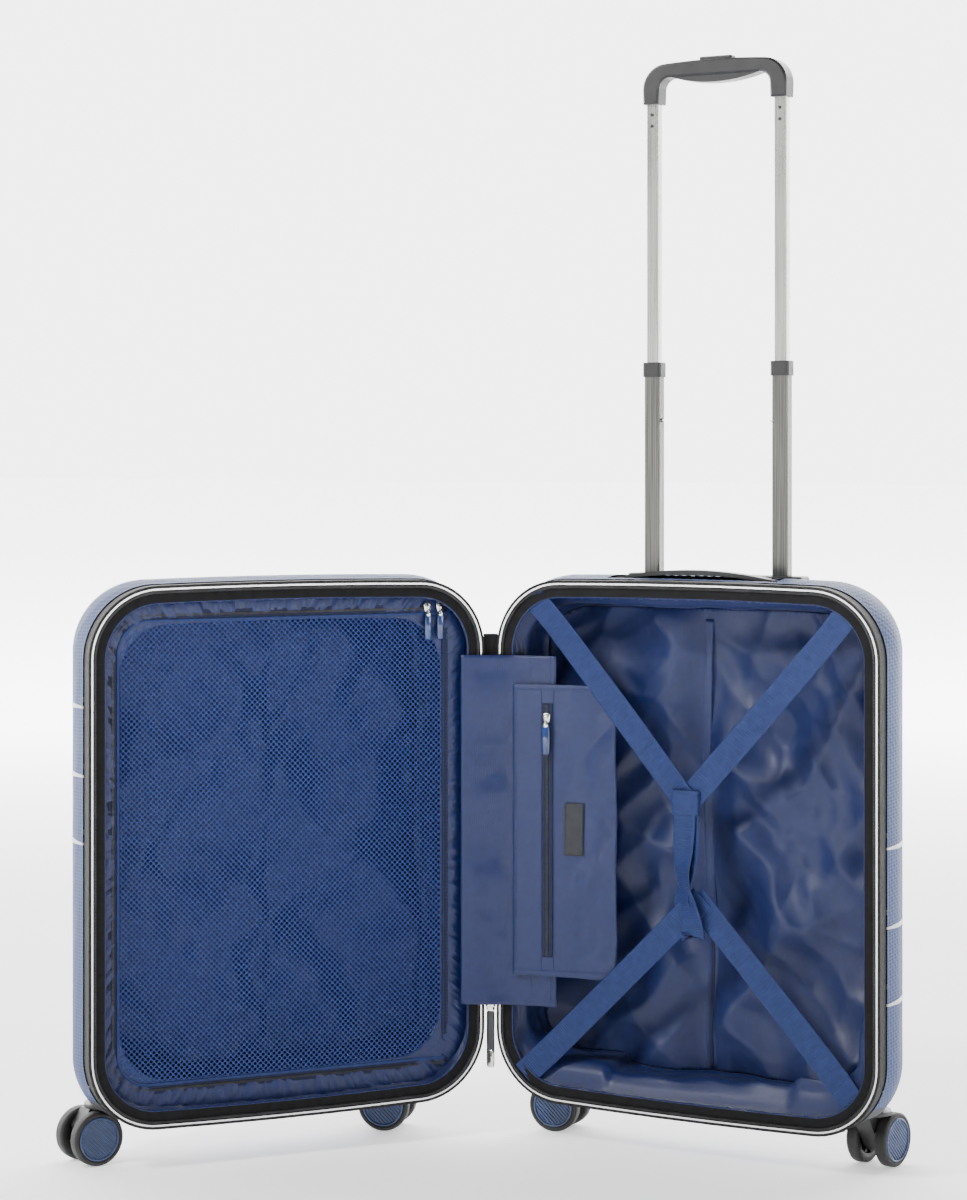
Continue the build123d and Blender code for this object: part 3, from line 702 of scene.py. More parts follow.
def crumple(a, z, seed, size, slant):
    """Sharp-edged folds: the distance to the nearest of scattered points, drawn out along a slant."""
    c, s = cos(slant), sin(slant)
    where = Vector(((a * c + z * s) / size * 0.55, (z * c - a * s) / size * 1.25, seed))
    return noise.voronoi(where, distance_metric="DISTANCE")[0][0]


def lining_folds(half, a, z):
    """Relief of the loose back panel: long slanting folds with smaller creases among them."""
    tilt = 0.9 if a * SIDE[half] > 0 else -0.8
    wide = crumple(a, z, 1.5 + SIDE[half], 0.105, tilt) + 0.25 * fractal((a, z, 3.0 * SIDE[half]), 11, 2, 2)
    fine = crumple(a + 0.02 * fractal((a, z, 0.4), 14, 6, 2), z, 7.5, 0.044, -tilt)
    sewn = 1 - 0.8 * (half == "back") * np.exp(-(a / 0.022) ** 2)
    return (0.95 * wide + 0.34 * fine - 0.34) * sewn


def build_lining(half):
    """A half's loose lining bag with its folds, and its surface for pieces that lie on it."""
    points, faces, count = bag_mesh(half, 0.0048 if half == "back" else 0.0056)
    a, v, z = points.T
    z = over_housings(half, a, v, z + RIM_Z)
    flat = to_row(half, a, v, z)
    lx, ly = AXES[half]
    deepest = LINING_PROFILE[half][-1][0]
    relief = np.array([lining_folds(half, *p) for p in zip(a, z)])
    loose = np.clip((v - 0.016) / 0.04, 0, 1)
    inward = np.stack([-np.clip(a / 0.16, -1, 1) ** 7, -np.clip((z - RIM_Z) / 0.215, -1, 1) ** 9], 1)
    walls = np.clip((v - 0.008) / 0.02, 0, 1) * (1 - np.clip((v - deepest + 0.012) / 0.012, 0, 1))
    pinch = np.array([lining_folds(half, y * 1.3 + x * 0.2, w * 1.3 + x) for x, y, w in zip(a, v, z)])
    place = flat - ly * (loose * (0.042 * np.clip(relief, -0.04, 1) + 0.001))[:, None]
    place += (lx * inward[:, :1] + UP * inward[:, 1:]) * (walls * 0.013 * np.clip(pinch + 0.3, 0, 1.2))[:, None]
    from_middle = place - to_row(half, 0, 0, 0)
    side, deep = from_middle @ lx, from_middle @ ly
    clear = LINING_CLEAR[half]
    place += ly * (np.clip(clear - deep, 0, None) * (v > clear))[:, None]
    out = side * SIDE[half] + HALF_W
    above = (deep > HOUSING_FACE[half]) & ((out < HOUSING_EDGES[0]) | (out > HOUSING_EDGES[1]))
    place[:, 2] = np.where(above, np.maximum(place[:, 2], 0.0664), place[:, 2])
    lining = new_piece(f"{half}_lining_bag", place, faces, LINING, None)
    smooth = lining.modifiers.new("smooth", "SUBSURF")
    smooth.levels = smooth.render_levels = 1
    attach(lining, f"{half}_half")
    dress(lining, "lining_navy", f"{half}_lining")
    return lining, BVHTree.FromPolygons([tuple(p) for p in place], faces)


back_lining, back_surface = build_lining("back")
front_lining, front_surface = build_lining("front")


def on_lining(half, out, z, rise):
    """The place on a lining seen straight through the rim, raised off it towards the opening."""
    ly = AXES[half][1]
    start = to_row(half, across(half, out), 0.006, z)
    surface = back_surface if half == "back" else front_surface
    hit = surface.ray_cast(Vector(start), Vector(ly))[0]
    return np.array(hit) - ly * rise if hit is not None else None


seam_line = [on_lining("back", 0.199 + 0.003 * sin(z * 12), z, 0.0004) for z in np.arange(0.075, 0.505, 0.004)]
seam_line = np.array([p for p in seam_line if p is not None])
for _ in range(6):
    seam_line[1:-1] = (seam_line[:-2] + 2 * seam_line[1:-1] + seam_line[2:]) / 4
back_x, back_y = AXES["back"]
for index, offset in enumerate((-0.0045, 0.0045)):
    ridge = sweep(f"lining_seam_{index}", seam_line + back_x * offset, -back_y, oval(0.0012, 0.0012, 8), THREAD,
                  "back_half")
    dress(ridge, "lining_navy")
cover = sweep("lining_seam_cover", seam_line, -back_y, oval(0.0088, 0.0014, 12, 5), SATIN, "back_half")
dress(cover, "lining_navy")
lower_zip = sweep("lining_access_zip", seam_line[:36] - back_y * 0.0009, -back_y, oval(0.0040, 0.0012, 10, 5),
                  ZIP_NAVY, "back_half")
dress(lower_zip, "tape_black")
FACING_ROWS = ((0.0158, 0.0024, 0), (0.0166, 0.0032, 0.2), (0.0168, 0.0046, 0.7), (0.0150, 0.0072, 1),
               (0.0118, 0.0105, 0.3))
facing_count = len(outline(-0.014, -0.014))
gather = np.array([noise.noise(Vector((k * 0.55, 3.0, 1.0))) for k in range(facing_count)])
for half in ("back", "front"):
    rings = []
    for inset, v, loose in FACING_ROWS:
        loop = outline(-inset, -inset)
        shrink = 1 - gather * loose * 0.0016 / 0.2
        rings.append(to_row(half, loop[:, 0] * shrink, v + gather * loose * 0.0012, loop[:, 1] * shrink + RIM_Z))
    facing = outward(new_piece(f"{half}_lining_facing", rings, grid_faces(5, facing_count, closed_cols=True), SATIN,
                               f"{half}_half"))
    dress(thicken(facing, 0.0005), "lining_navy")

# ---------------- divider in the lid
NET = {"inner": 0.037, "outer": 0.368, "low": 0.075, "high": 0.508, "corner": 0.032}
NET_FACE = 0.0139


def in_net(out, z, room=0.0):
    """True inside the net's outline."""
    x = out - (NET["outer"] - NET["corner"])
    y = max(z - (NET["high"] - NET["corner"]), NET["low"] + NET["corner"] - z)
    if x > 0 and y > 0:
        return (x * x + y * y) ** 0.5 < NET["corner"] - room
    return NET["inner"] < out < NET["outer"] - room and NET["low"] + room < z < NET["high"] - room


def net_wave(out, z):
    """How far the net stands behind its plane: gentle slack."""
    return 0.0009 * fractal((out, z, 0), 9, 5.0, 2)


def build_net():
    """The divider's net: a ring of faces round each hole, set in staggered rows."""
    cell = 0.0054
    verts, faces = [], []
    around = np.arange(8) * pi / 4
    hole = np.stack([np.cos(around), np.sin(around)], 1) * cell * 0.285
    rim_points = np.array([(0.5, 0), (0.25, 0.25), (0, 0.5), (-0.25, 0.25),
                           (-0.5, 0), (-0.25, -0.25), (0, -0.5), (0.25, -0.25)]) * cell
    rows = int((NET["high"] - NET["low"]) / (cell / 2))
    cols = int((NET["outer"] - NET["inner"]) / cell) + 1
    for j in range(rows):
        z = NET["low"] + (j + 0.5) * cell / 2
        for i in range(cols):
            out = NET["inner"] + (i + 0.5 * (j % 2)) * cell
            if not in_net(out, z, 0.0012):
                continue
            back = net_wave(out, z)
            start = len(verts)
            for ring, set_back in ((rim_points, back), (hole, back + 0.0003)):
                for da, dz in ring:
                    verts.append((across("front", out + da), NET_FACE + set_back, z + dz))
            faces += [(start + k, start + (k + 1) % 8, start + 8 + (k + 1) % 8, start + 8 + k) for k in range(8)]
    verts = np.array(verts)
    points = to_row("front", verts[:, 0], verts[:, 1], verts[:, 2])
    return dress(new_piece("divider_netting", points, faces, NETTING, "front_half"), "netting_navy", "divider_net")


def u_path(grow, step=0.002):
    """The U-shaped run round the net's three free sides."""
    low, high = NET["low"] - grow, NET["high"] + grow
    outer, r = NET["outer"] + grow, NET["corner"] + grow
    top = [(k, high) for k in np.arange(NET["inner"] - 0.002, outer - r, step)]
    turn = np.arange(0, pi / 2, step / r)
    corner = [(outer - r + r * sin(t), high - r + r * cos(t)) for t in turn]
    side = [(outer, k) for k in np.arange(high - r, low + r, -step)]
    corner2 = [(outer - r + r * cos(t), low + r - r * sin(t)) for t in turn]
    bottom = [(k, low) for k in np.arange(outer - r, NET["inner"] - 0.002, -step)]
    return np.array(top + corner + side + corner2 + bottom)


def strip_on_lid(name, path, v, section, material, *dressing):
    """A strip along a path of (out, height) points on the divider's face."""
    points = to_row("front", across("front", path[:, 0]), v, path[:, 1])
    return dress(sweep(name, points, -AXES["front"][1], section, material, "front_half"), *dressing)


net = build_net()
tape = strip_on_lid("divider_zip_tape", u_path(0.0034), NET_FACE - 0.0002, oval(0.0085, 0.0008, 12, 5), ZIP_NAVY,
                    "tape_black", "divider_zip")
welt = strip_on_lid("divider_welt", u_path(-0.0016), NET_FACE - 0.0008, oval(0.0030, 0.0022, 10), WEBBING,
                    "lining_navy")
lid_x, lid_y = AXES["front"]
coil_run = u_path(0.0034, 0.0012)
coil_run[:, 0] = across("front", coil_run[:, 0])
coil = teeth_along("divider_zip_coil", "front", (coil_run, directions(coil_run)), NET_FACE - 0.0009,
                   (0.0026, 0.0008, 0.0010), 0.3)
dress(coil, "tape_black")

border_outer = outline(-0.0135, -0.0135, 0.0022)
span = np.linalg.norm(np.diff(border_outer, axis=0, append=border_outer[:1]), axis=1)
walk = np.cumsum(span)
BORDER_IN = 0.0135
half_in = np.array([NET["outer"] - NET["inner"] - 0.008, NET["high"] - NET["low"] - 0.008]) / 2
middle_in = np.array([across("front", (NET["inner"] + NET["outer"]) / 2), (NET["low"] + NET["high"]) / 2 - RIM_Z])
inner = middle_in + border_outer / (HALF_W - BORDER_IN, CASE_H / 2 - BORDER_IN) * half_in
rings = []
ring_count = 12
for t in np.linspace(0, 1, ring_count):
    gather = np.array([noise.noise(Vector((w * 150, 0.5, 2.0))) + 0.7 * noise.noise(Vector((w * 420, t * 1.6, 7.0)))
                       for w in walk])
    mix = border_outer * (1 - t) + inner * t
    puff = 0.0022 * sin(pi * min(t * 1.25, 1.0))
    v = 0.0143 - puff * 0.6 - gather * 0.0018 * sin(pi * min(max(t, 0.06) * 1.2, 1.0))
    rings.append(to_row("front", mix[:, 0], v, mix[:, 1] + RIM_Z))
border = outward(new_piece("divider_ruched_border", rings,
                           grid_faces(ring_count, len(border_outer), closed_cols=True), SATIN, "front_half"))
dress(thicken(border, 0.0006), "lining_navy", "divider_border")
seam_heights = np.arange(NET["low"] - 0.004, NET["high"] + 0.004, 0.004)
seam_path = np.stack([np.full(len(seam_heights), NET["inner"] - 0.0005), seam_heights], 1)
seam_tape = strip_on_lid("divider_seam_tape", seam_path, NET_FACE - 0.0004, oval(0.0065, 0.0011, 12, 5), ZIP_NAVY,
                         "lining_navy")


def stitches(name, points, tangents, normal, slot="lining_navy", body="back_half"):
    """A row of short stitches along a path."""
    length, gap = 0.0022, 0.0012
    points = np.asarray(points, float)
    along = walked(points)
    at = np.arange(0, along[-1], length + gap)
    runs = unit(at_steps(np.asarray(tangents, float), along, at))
    places = [(centre, np.cross(run, normal), run, normal)
              for centre, run in zip(at_steps(points, along, at), runs)]
    dress(join_boxes(name, places, (0.0005, length, 0.0004), THREAD, body, 0.2), slot)


for index, offset in enumerate((-0.0022, 0.0016)):
    run = to_row("front", across("front", seam_path[:, 0] + offset), NET_FACE - 0.0011, seam_path[:, 1])
    stitches(f"divider_seam_stitches_{index}", run, np.gradient(run, axis=0), -lid_y, body="front_half")

# ---------------- zip sliders and pulls


def rounded_plate(name, centre, x, y, z, size, material, body, taper=1.0, edge=0.0006, power=4.0):
    """A soft-edged plate of a width, height and thickness along x, y and z; its lower end may be narrower."""
    width, height, thickness = size
    shape = oval(width, height, 28, power)
    rings = []
    for level, inset in ((0, edge), (edge, 0), (thickness - edge, 0), (thickness, edge)):
        k, m = 1 - inset / (width / 2), 1 - inset / (height / 2)
        rings.append([centre + x * s * k * (1 - (1 - taper) * (0.5 - t / height)) + y * t * m + z * level
                      for s, t in shape])
    faces = grid_faces(4, len(shape), closed_cols=True) + end_caps(4, len(shape))
    return outward(new_piece(name, rings, faces, material, body))


def ring_of(name, centre, u, w, radius, thick, body):
    """A wire ring in the plane of u and w."""
    turn = np.linspace(0, 2 * pi, 28, endpoint=False)
    points = [centre + u * radius * cos(t) + w * radius * sin(t) for t in turn]
    ring = sweep(name, points, np.cross(u, w), oval(thick, thick, 8, 2), ZINC, body, closed=True)
    dress(ring, "zinc_bright")


def build_slider(name, top, x, z, body, node, pull_length, pull_width, pull_node):
    """A zip slider with its bridge, link ring and hanging pull; x lies across, z out of the cloth."""
    y = UP
    slider = rounded_plate(f"{name}_body", top, x, y, z, (0.0086, 0.0098, 0.0026), ZINC, body,
                           taper=0.66, power=3.2)
    dress(slider, "zinc_bright", node)
    bridge_path = [top + y * k * 0.0036 + z * (0.0022 + 0.0019 * cos(pi * k / 2)) for k in np.linspace(-1, 1, 9)]
    dress(sweep(f"{name}_bridge", bridge_path, z, oval(0.0026, 0.0010, 10), ZINC, body), "zinc_bright")
    ring_of(f"{name}_link", top - y * 0.0040 + z * 0.0034, y, z, 0.0019, 0.0008, body)
    pull_top = top - y * 0.0052 + z * 0.0036
    pull = rounded_plate(f"{name}_pull", pull_top - y * pull_length / 2, x, y, z, (pull_width, pull_length, 0.0017),
                         PULL_BLUE, body, power=5.0)
    dress(pull, "pull_blue", pull_node)
    grip_rows = [(pull_top - y * (pull_length * f) + z * 0.0018, x, y, z) for f in np.linspace(0.55, 0.86, 6)]
    dress(join_boxes(f"{name}_pull_ribs", grip_rows, (pull_width * 0.62, 0.0006, 0.0005), PULL_BLUE, body, 0.3),
          "pull_blue")
    clasp = rounded_plate(f"{name}_clasp", pull_top - y * 0.0016 - z * 0.0002, x, y, z,
                          (pull_width * 0.62, 0.0042, 0.0022), ZINC, body)
    dress(clasp, "zinc_bright")


for name, out in (("outer", 0.056), ("inner", 0.043)):
    place = to_row("front", across("front", out), NET_FACE - 0.0019, NET["high"] + 0.0045)
    build_slider(f"divider_{name}", place, lid_x, -lid_y, f"divider_zip_{name}", f"divider_slider_{name}",
                 0.026, 0.0072, f"divider_pull_{name}")

# ---------------- hinge tape, flap and pocket
hinge_low, hinge_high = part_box("hinge_tape")
z_line = np.linspace(hinge_low.z, hinge_high.z, 60)
left = to_row("front", across("front", -0.0004), 0.003, 0.0)
right = to_row("back", across("back", -0.0004), 0.003, 0.0)
bulge = np.array([-0.35, 1.0, 0]) * 0.0016
tape_points = [[left * (1 - t) + right * t + bulge * sin(pi * t) + UP * z for t in np.linspace(0, 1, 9)]
               for z in z_line]
hinge_tape = new_piece("hinge_fabric", tape_points, grid_faces(60, 9), TAPE_BLACK, None)
apply_modifiers(thicken(hinge_tape, 0.0011))
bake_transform(hinge_tape)
dress(hinge_tape, "tape_black", "hinge_tape")

FLAP_PLACES = (("front", 0.0235, 0.0042), ("front", 0.0150, -0.0010), ("back", 0.0150, -0.0012),
               ("back", 0.0300, 0.0022), ("back", 0.0610, 0.0085))
flap_line = through(np.array([to_row(half, across(half, out), v, 0.0) for half, out, v in FLAP_PLACES]), 34)
flap_out = np.cross(directions(flap_line), UP)
flap_points = []
for z in np.linspace(0.128, 0.466, 96):
    row = []
    for t, p, n in zip(np.linspace(0, 1, 34), flap_line, flap_out):
        soft = sin(pi * min(max(t, 0.04), 0.96)) ** 0.7
        wave = 0.0026 * fractal((t * 0.05, z, 0.2), 30, 11, 3) + 0.0012 * sin(z * 60 + t * 2.2)
        wave += 0.0014 - 0.004 * crumple(t * 0.1, z, 4.0, 0.05, 0.5)
        row.append(p + n * wave * soft + UP * z)
    flap_points.append(row)
flap = new_piece("hinge_cover_flap", flap_points, grid_faces(96, 34), LINING, None)
apply_modifiers(thicken(flap, 0.0008))
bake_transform(flap)
dress(flap, "lining_navy", "hinge_flap")
for index, column in enumerate((24, 31)):
    hem = np.array([row[column] + flap_out[column] * 0.0006 for row in flap_points])
    stitches(f"flap_hem_stitches_{index}", hem, np.gradient(hem, axis=0), flap_out[column])

pocket_start = to_row("back", across("back", 0.021), -0.005, 0.159)
pocket_end = to_row("back", across("back", 0.123), 0.015, 0.159)
pocket_x = unit(pocket_end - pocket_start)
pocket_n = np.cross(pocket_x, UP)
POCKET_W, POCKET_H = 0.104, 0.280
ZIP_X = 0.035


def pocket_point(x, y, rise=0.0):
    """A place on the pocket: across it, up it and out of it."""
    return pocket_start + pocket_x * x + UP * y + pocket_n * rise


def pocket_rise(x, y):
    """The pocket panel's shape: drawn flat at its stitched left edge and zip, slack and creased beyond."""
    free = min(max((x - ZIP_X - 0.006) / 0.04, 0), 1)
    edge = min(1, min(y, POCKET_H - y) / 0.02)
    crease = fractal((x, y * 0.6, 0.4), 24, 21, 3)
    fold = sin(x * 70 - y * 26) * 0.5 + sin(x * 42 + y * 15 + 1.2) * 0.5
    slack = 0.0026 * crease + 0.0020 * fold - 0.006 * crumple(x, y, 9.0, 0.045, 0.7) + 0.003
    return free * slack + 0.0004 * fractal((x, y, 2), 60, 4, 2) - 0.0012 * (1 - edge) * free


x_line = np.linspace(0, POCKET_W, 44)
droop = 0.004 * (x_line / POCKET_W) ** 2
pocket_rows = [[pocket_point(x, y - 0.6 * d * (1 - y / POCKET_H), pocket_rise(x, y) - 0.001)
                for x, d in zip(x_line, droop)] for y in np.linspace(0, POCKET_H, 110)]
pocket = new_piece("pocket_panel", pocket_rows, grid_faces(110, 44), SATIN, "back_half")
dress(thicken(pocket, 0.0016), "lining_navy", "pocket")
zip_line = [pocket_point(ZIP_X, y, 0.0003) for y in np.linspace(0.018, 0.262, 60)]
zip_tape = sweep("pocket_zip_tape", zip_line, pocket_n, oval(0.0105, 0.0009, 12, 5), ZIP_NAVY, "back_half")
dress(zip_tape, "tape_black", "pocket_zip")
coil_places = [(pocket_point(ZIP_X, y, 0.0011), pocket_x, UP, pocket_n) for y in np.arange(0.020, 0.260, 0.0012)]
pocket_coil = join_boxes("pocket_zip_coil", coil_places, (0.0030, 0.0008, 0.0009), COIL_BLACK, "back_half", 0.3)
dress(pocket_coil, "tape_black")
upright = [[(x, y) for y in np.linspace(0.006, 0.274, 90)] for x in (0.003, ZIP_X - 0.0062, ZIP_X + 0.0062)]
level = [[(x, y) for x in np.linspace(0.004, 0.100, 60)] for y in (0.005, POCKET_H - 0.005)]
for name, lines in (("pocket_stitches", upright), ("pocket_hem_stitches", level)):
    for index, places in enumerate(lines):
        line = np.array([pocket_point(x, y, 0.0004 + pocket_rise(x, y)) for x, y in places])
        stitches(f"{name}_{index}", line, np.gradient(line, axis=0), pocket_n)
label_rows = [[pocket_point(x, y, 0.0012 + pocket_rise(x, y)) for x in np.linspace(0.0525, 0.0715, 9)]
              for y in np.linspace(0.117, 0.167, 18)]
label = new_piece("pocket_blank_label", label_rows, grid_faces(18, 9), LABEL_GREY, "back_half")
dress(thicken(label, 0.0006), "label_grey", "pocket_label")
build_slider("pocket", pocket_point(ZIP_X, 0.248, 0.0012), pocket_x, pocket_n, "pocket_zip_slider", "pocket_slider",
             0.030, 0.0080, "pocket_pull")

paint(ZINC, "main_zip_slider")
soften(0.0012, "main_zip_slider")
paint(PULL_DARK, "main_zip_pull")
soften(0.0005, "main_zip_pull")
hinge_point = np.array([HINGE[0], HINGE[1], 0])
east = np.array([1.0, 0, 0])
south = np.array([0, -1.0, 0])
ring_of("main_pull_ring", hinge_point + UP * 0.1205, UP, east, 0.0030, 0.0011, "main_pull")
tip = rounded_plate("main_pull_tip", hinge_point + UP * 0.0735 - south * 0.0014, east, UP, south,
                    (0.0080, 0.0175, 0.0028), ZINC, "main_pull", power=5.0)
dress(tip, "zinc_bright")
# A thin black plate on the pull tip paints the shade of its slot; no slot is cut through the tip.
painted_slot_shade = rounded_plate("main_pull_painted_slot_shade", hinge_point + UP * 0.0745 + south * 0.0013, east, UP, south,
                          (0.0022, 0.0090, 0.0003), COIL_BLACK, "main_pull", edge=0.0001)
dress(painted_slot_shade, "zinc_bright")

# ---------------- straps
WEB = 0.025
RIB = {"pitch": 0.0023, "depth": 0.0005}
WEB_SECTION = [(-1, 0.35, 0), (-0.93, 0.9, 0.15), (-0.74, 1, 0.1), (-0.68, 1, 1),
               (0.68, 1, 1), (0.74, 1, 0.1), (0.93, 0.9, 0.15), (1, 0.35, 0)]


def back_point(out, v, z):
    """A place in the back half, by its distance out from the hinge edge."""
    return to_row("back", across("back", out), v, z)


def ribbon(name, points, normals, width, thickness, *nodes):
    """Webbing along a path: ribs lie across its middle, and plain selvedges run along its edges."""
    along = walked(points)
    at = np.linspace(0, along[-1], ceil(along[-1] / (RIB["pitch"] / 8)) + 1)
    line = at_steps(points, along, at)
    run = directions(line)
    side = unit(np.cross(run, at_steps(normals, along, at)))
    rings = []
    for p, s, n, d in zip(line, side, np.cross(side, run), at):
        rib_height = RIB["depth"] * (abs(sin(pi * d / RIB["pitch"])) ** 0.6 - 1)
        raised = [(s * c * width / 2, n * (thickness / 2 * t + rib_height * m)) for c, t, m in WEB_SECTION]
        rings.append([p + x + y for x, y in raised] + [p + x - y for x, y in reversed(raised)])
    faces = grid_faces(len(rings), 16, closed_cols=True) + end_caps(len(rings), 16)
    return dress(outward(new_piece(name, rings, faces, WEBBING, "back_half")), "webbing_navy", *nodes)


def strap(name, knot, anchor, depth, node):
    """A strap from a knot to a corner, a little slack, its outer end tucked under the rim tape."""
    t = np.linspace(-0.03, 1.075, 60)
    slack = np.sin(pi * np.clip(t, 0, 1))
    v = depth - 0.0006 + 0.0016 * slack - 0.0035 * np.clip(t - 0.92, 0, 1) / 0.1
    twist = 0.07 * np.sin(2 * pi * np.clip(t, 0, 1) + depth * 600)
    line = back_point(knot[0] + (anchor[0] - knot[0]) * t, v, knot[1] + (anchor[1] - knot[1]) * t)
    side = np.cross(directions(line), -back_y)
    normals = -back_y * np.cos(twist)[:, None] + side * np.sin(twist)[:, None]
    end = [line[-9] + side[-9] * k for k in np.linspace(-0.010, 0.010, 8)]
    stitches(f"{name}_end_stitches", end, [side[-9]] * 8, -back_y, "webbing_navy")
    return ribbon(name, line, normals, WEB, 0.0011, node)


straps = [strap("strap_upper_inner", (0.200, 0.334), (0.047, 0.513), 0.0084, "upper_straps"),
          strap("strap_upper_outer", (0.200, 0.334), (0.358, 0.509), 0.0098, "upper_straps"),
          strap("strap_lower_inner", (0.212, 0.241), (0.042, 0.074), 0.0084, "lower_straps"),
          strap("strap_lower_outer", (0.212, 0.241), (0.367, 0.073), 0.0098, "lower_straps")]

turn = np.linspace(0, 2 * pi, 40, endpoint=False)
keeper_line = []
for s, c in zip(np.sin(turn), np.cos(turn)):
    keeper_line.append(back_point(0.200 + 0.0132 * np.sign(s) * abs(s) ** 0.35,
                                  0.0078 - 0.0034 * np.sign(c) * abs(c) ** 0.5, 0))
keeper_rows = [(0.3226, 0.0), (0.3230, 0.0006), (0.3246, 0.0008), (0.3252, 0.0001), (0.3262, 0.0)]
keeper_rows += [(0.3268 + k * 0.00115, 0.0003 if k % 2 else 0.0) for k in range(13)]
keeper_rows += [(0.3418, 0.0), (0.3428, 0.0001), (0.3434, 0.0008), (0.3450, 0.0006), (0.3454, 0.0)]
centre = back_point(0.200, 0.0078, 0)
rings = [[p + unit(p - centre) * swell + UP * z for p in keeper_line] for z, swell in keeper_rows]
keeper = new_piece("strap_keeper_band", rings, grid_faces(len(rings), 40, closed_cols=True), WEBBING, "back_half")
dress(thicken(outward(keeper), 0.0008), "webbing_navy", "strap_keeper")

LOOP_KNOTS = [
    (0.0, 5.2, -6, 0), (0.0, 4.4, -22, 4), (-0.8, 3.2, -45, 12), (-1.2, 2.4, -64, 30), (1.5, 2.4, -80, 40),
    (5.5, 2.8, -97, 24), (8.0, 3.4, -112, 8), (8.6, 4.0, -120, 0), (8.2, 5.6, -125, 0), (6.6, 6.8, -121, 0),
    (1.0, 6.8, -108, -16), (-4.0, 6.4, -94, -30), (-2.5, 6.2, -80, -38), (2.8, 6.2, -64, -34),
    (5.2, 6.6, -46, -24), (3.6, 7.0, -26, -10), (1.5, 7.2, -8, 0),
]  # across, behind and up in millimetres from the knot, and the turn of the webbing in degrees
loop_table = np.array(LOOP_KNOTS, float)
dense = through(loop_table[:, :3], 220)
length = walked(loop_table[:, :3])
angle = np.interp(np.linspace(0, length[-1], 220), length, np.radians(loop_table[:, 3]))[:, None]
loop_line = back_point(0.200 + dense[:, 0] / 1000, dense[:, 1] / 1000, 0.334 + dense[:, 2] / 1000)
run = directions(loop_line)
flat_way = unit(np.cross(run, back_x))
normals = flat_way * np.cos(angle) + np.cross(run, flat_way) * np.sin(angle)
hanging = ribbon("strap_hanging_loop", loop_line, normals, WEB - 0.002, 0.0010, "strap_loop")

# ---------------- trolley and carry handle
for material, rounding, nodes in (
        (BRIGHT_TUBE, 0.0016, ["inner_tubes"]),
        (DARK_TUBE, 0.0018, ["middle_tubes", "outer_tubes"]),
        (PLASTIC_BLACK, 0.0008, ["collars", "trolley_bezel", "handle_base", "release_button"]),
        (PLASTIC_BLACK, 0.0024, ["grip"]),
        (PLASTIC_BLACK, 0.0012, ["grip_insert", "carry_handle"]),
        (PLASTIC_BLACK, 0.0003, ["grip_screws"]),
        (ZINC, 0.0004, ["stage_pins"])):
    paint(material, *nodes)
    soften(rounding, *nodes)
paint(PLASTIC_BLACK, "tube_guides")
paint(ZINC, "release_rods")

# ---------------- casters

def lathe(name, centre, axis, profile, count, material, body, slot, *nodes):
    """Turns a profile of (radius, along the axis) about an axis."""
    u = unit(np.cross(axis, UP))
    w = np.cross(axis, u)
    turn = np.linspace(0, 2 * pi, count, endpoint=False)
    rings = [[centre + axis * x + (u * cos(t) + w * sin(t)) * r for t in turn] for r, x in profile]
    piece = new_piece(name, rings, grid_faces(len(profile), count, closed_cols=True), material, body)
    dress(outward(piece), slot, *nodes)


def rounded_profile(points, size):
    """Softens a profile's corners with two extra points each."""
    points = [np.array(p, float) for p in points]
    result = [points[0]]
    for before, here, after in zip(points, points[1:], points[2:]):
        for other in (before, after):
            way = other - here
            reach = min(size, np.linalg.norm(way) * 0.4)
            result.append(here + way / np.linalg.norm(way) * reach)
        result.insert(-1, here * 0.6 + (result[-1] + result[-2]) * 0.2)
    return result + [points[-1]]


TREAD = [(0.0200, -0.0058), (0.0232, -0.0060), (0.0250, -0.0044), (0.02512, -0.0012), (0.02512, 0.0012),
         (0.0250, 0.0044), (0.0232, 0.0060), (0.0214, 0.0060), (0.0210, 0.0053), (0.0200, 0.0053),
         (0.0200, -0.0058)]
CAP_LINE = [(0.0003, 0.0046), (0.0182, 0.0046), (0.0184, 0.0062), (0.0194, 0.0064), (0.0203, 0.0058),
            (0.0204, 0.0030), (0.0100, 0.0026)]
WEB_LINE = [(0.0034, -0.0056), (0.0062, -0.0056), (0.0068, -0.0030), (0.0160, -0.0030), (0.0166, -0.0054),
            (0.0201, -0.0056), (0.0201, 0.0010)]
HUB_BAR = [(-0.0009, 0.0), (-0.0005, 0.0009), (0.0005, 0.0009), (0.0009, 0.0)]
HUB_R = 0.0181


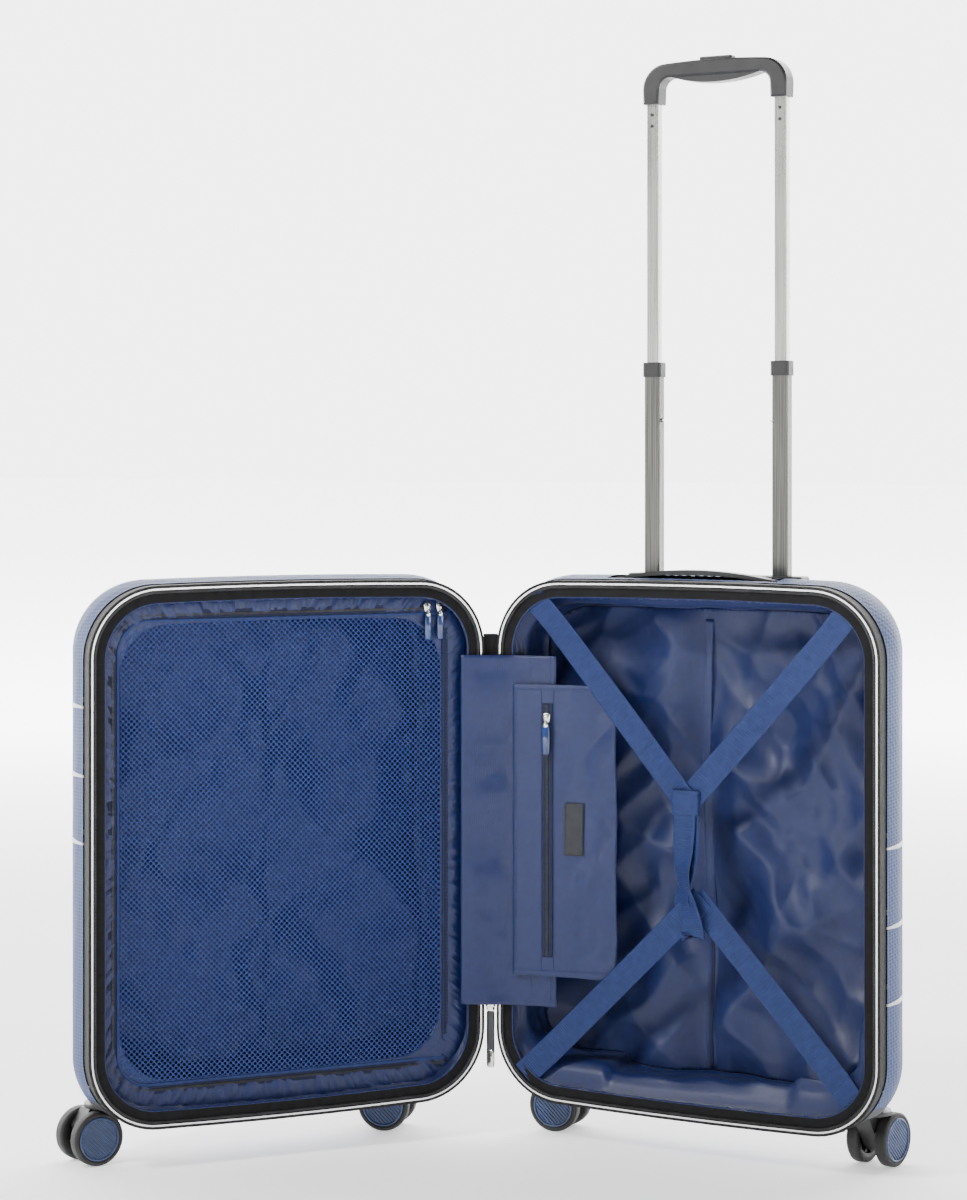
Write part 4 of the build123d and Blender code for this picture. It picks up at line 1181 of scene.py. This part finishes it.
def build_wheel(name, letter):
    """A wheel: tyre, ribbed hub cap, web and spokes."""
    node = f"wheel_{name}_{letter}"
    body = f"roller_{name}_{letter}"
    low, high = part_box(node)
    centre = np.array((low + high) / 2)
    heading = radians(CASTER_HEADINGS[name])
    axis = np.array([sin(heading), -cos(heading), 0]) * (-1 if letter == "a" else 1)
    u = unit(np.cross(axis, UP))
    w = np.cross(axis, u)
    lathe(f"tyre_{name}_{letter}", centre, axis, rounded_profile(TREAD, 0.0006), 96, TYRE, body, "tyre_black", node)
    lathe(f"hub_cap_{name}_{letter}", centre, axis, rounded_profile(CAP_LINE, 0.0004), 72, WHEEL_BLUE, body,
          "wheel_blue")
    slant = (u + w) / 2 ** 0.5
    along = np.cross(axis, slant)
    verts, faces = [], []
    for k in np.arange(-0.0168, 0.0169, 0.0028):
        reach = (HUB_R ** 2 - min((abs(k) + 0.0007) ** 2, HUB_R ** 2)) ** 0.5
        if reach < 0.002:
            continue
        start = len(verts)
        for s in np.linspace(-1, 1, 5):
            p = centre + axis * 0.0046 + slant * k + along * s * reach
            verts += [p + slant * x + axis * h for x, h in HUB_BAR]
        for i in range(4):
            faces += [tuple(start + i * 4 + q for q in (j, j + 1, j + 5, j + 4)) for j in range(3)]
        faces += [tuple(start + k for k in cap) for cap in end_caps(5, 4)]
    ribs = new_piece(f"hub_ribs_{name}_{letter}", verts, faces, WHEEL_BLUE, body, smooth=False)
    dress(ribs, "wheel_blue")
    lathe(f"hub_web_{name}_{letter}", centre, axis, rounded_profile(WEB_LINE, 0.0004), 64, PLASTIC_BLACK, body,
          "tyre_black")
    spokes = []
    for t in np.arange(9) * 2 * pi / 9:
        way = u * cos(t) + w * sin(t)
        spokes.append((centre - axis * 0.0043 + way * 0.0114, way, np.cross(axis, way), -axis))
    dress(join_boxes(f"hub_spokes_{name}_{letter}", spokes, (0.0100, 0.0013, 0.0024), PLASTIC_BLACK, body, 0.15),
          "tyre_black")


for name in CASTER_HEADINGS:
    for letter in ("a", "b"):
        build_wheel(name, letter)
    paint(PLASTIC_BLACK, f"fork_{name}")
    soften(0.0009, f"fork_{name}")
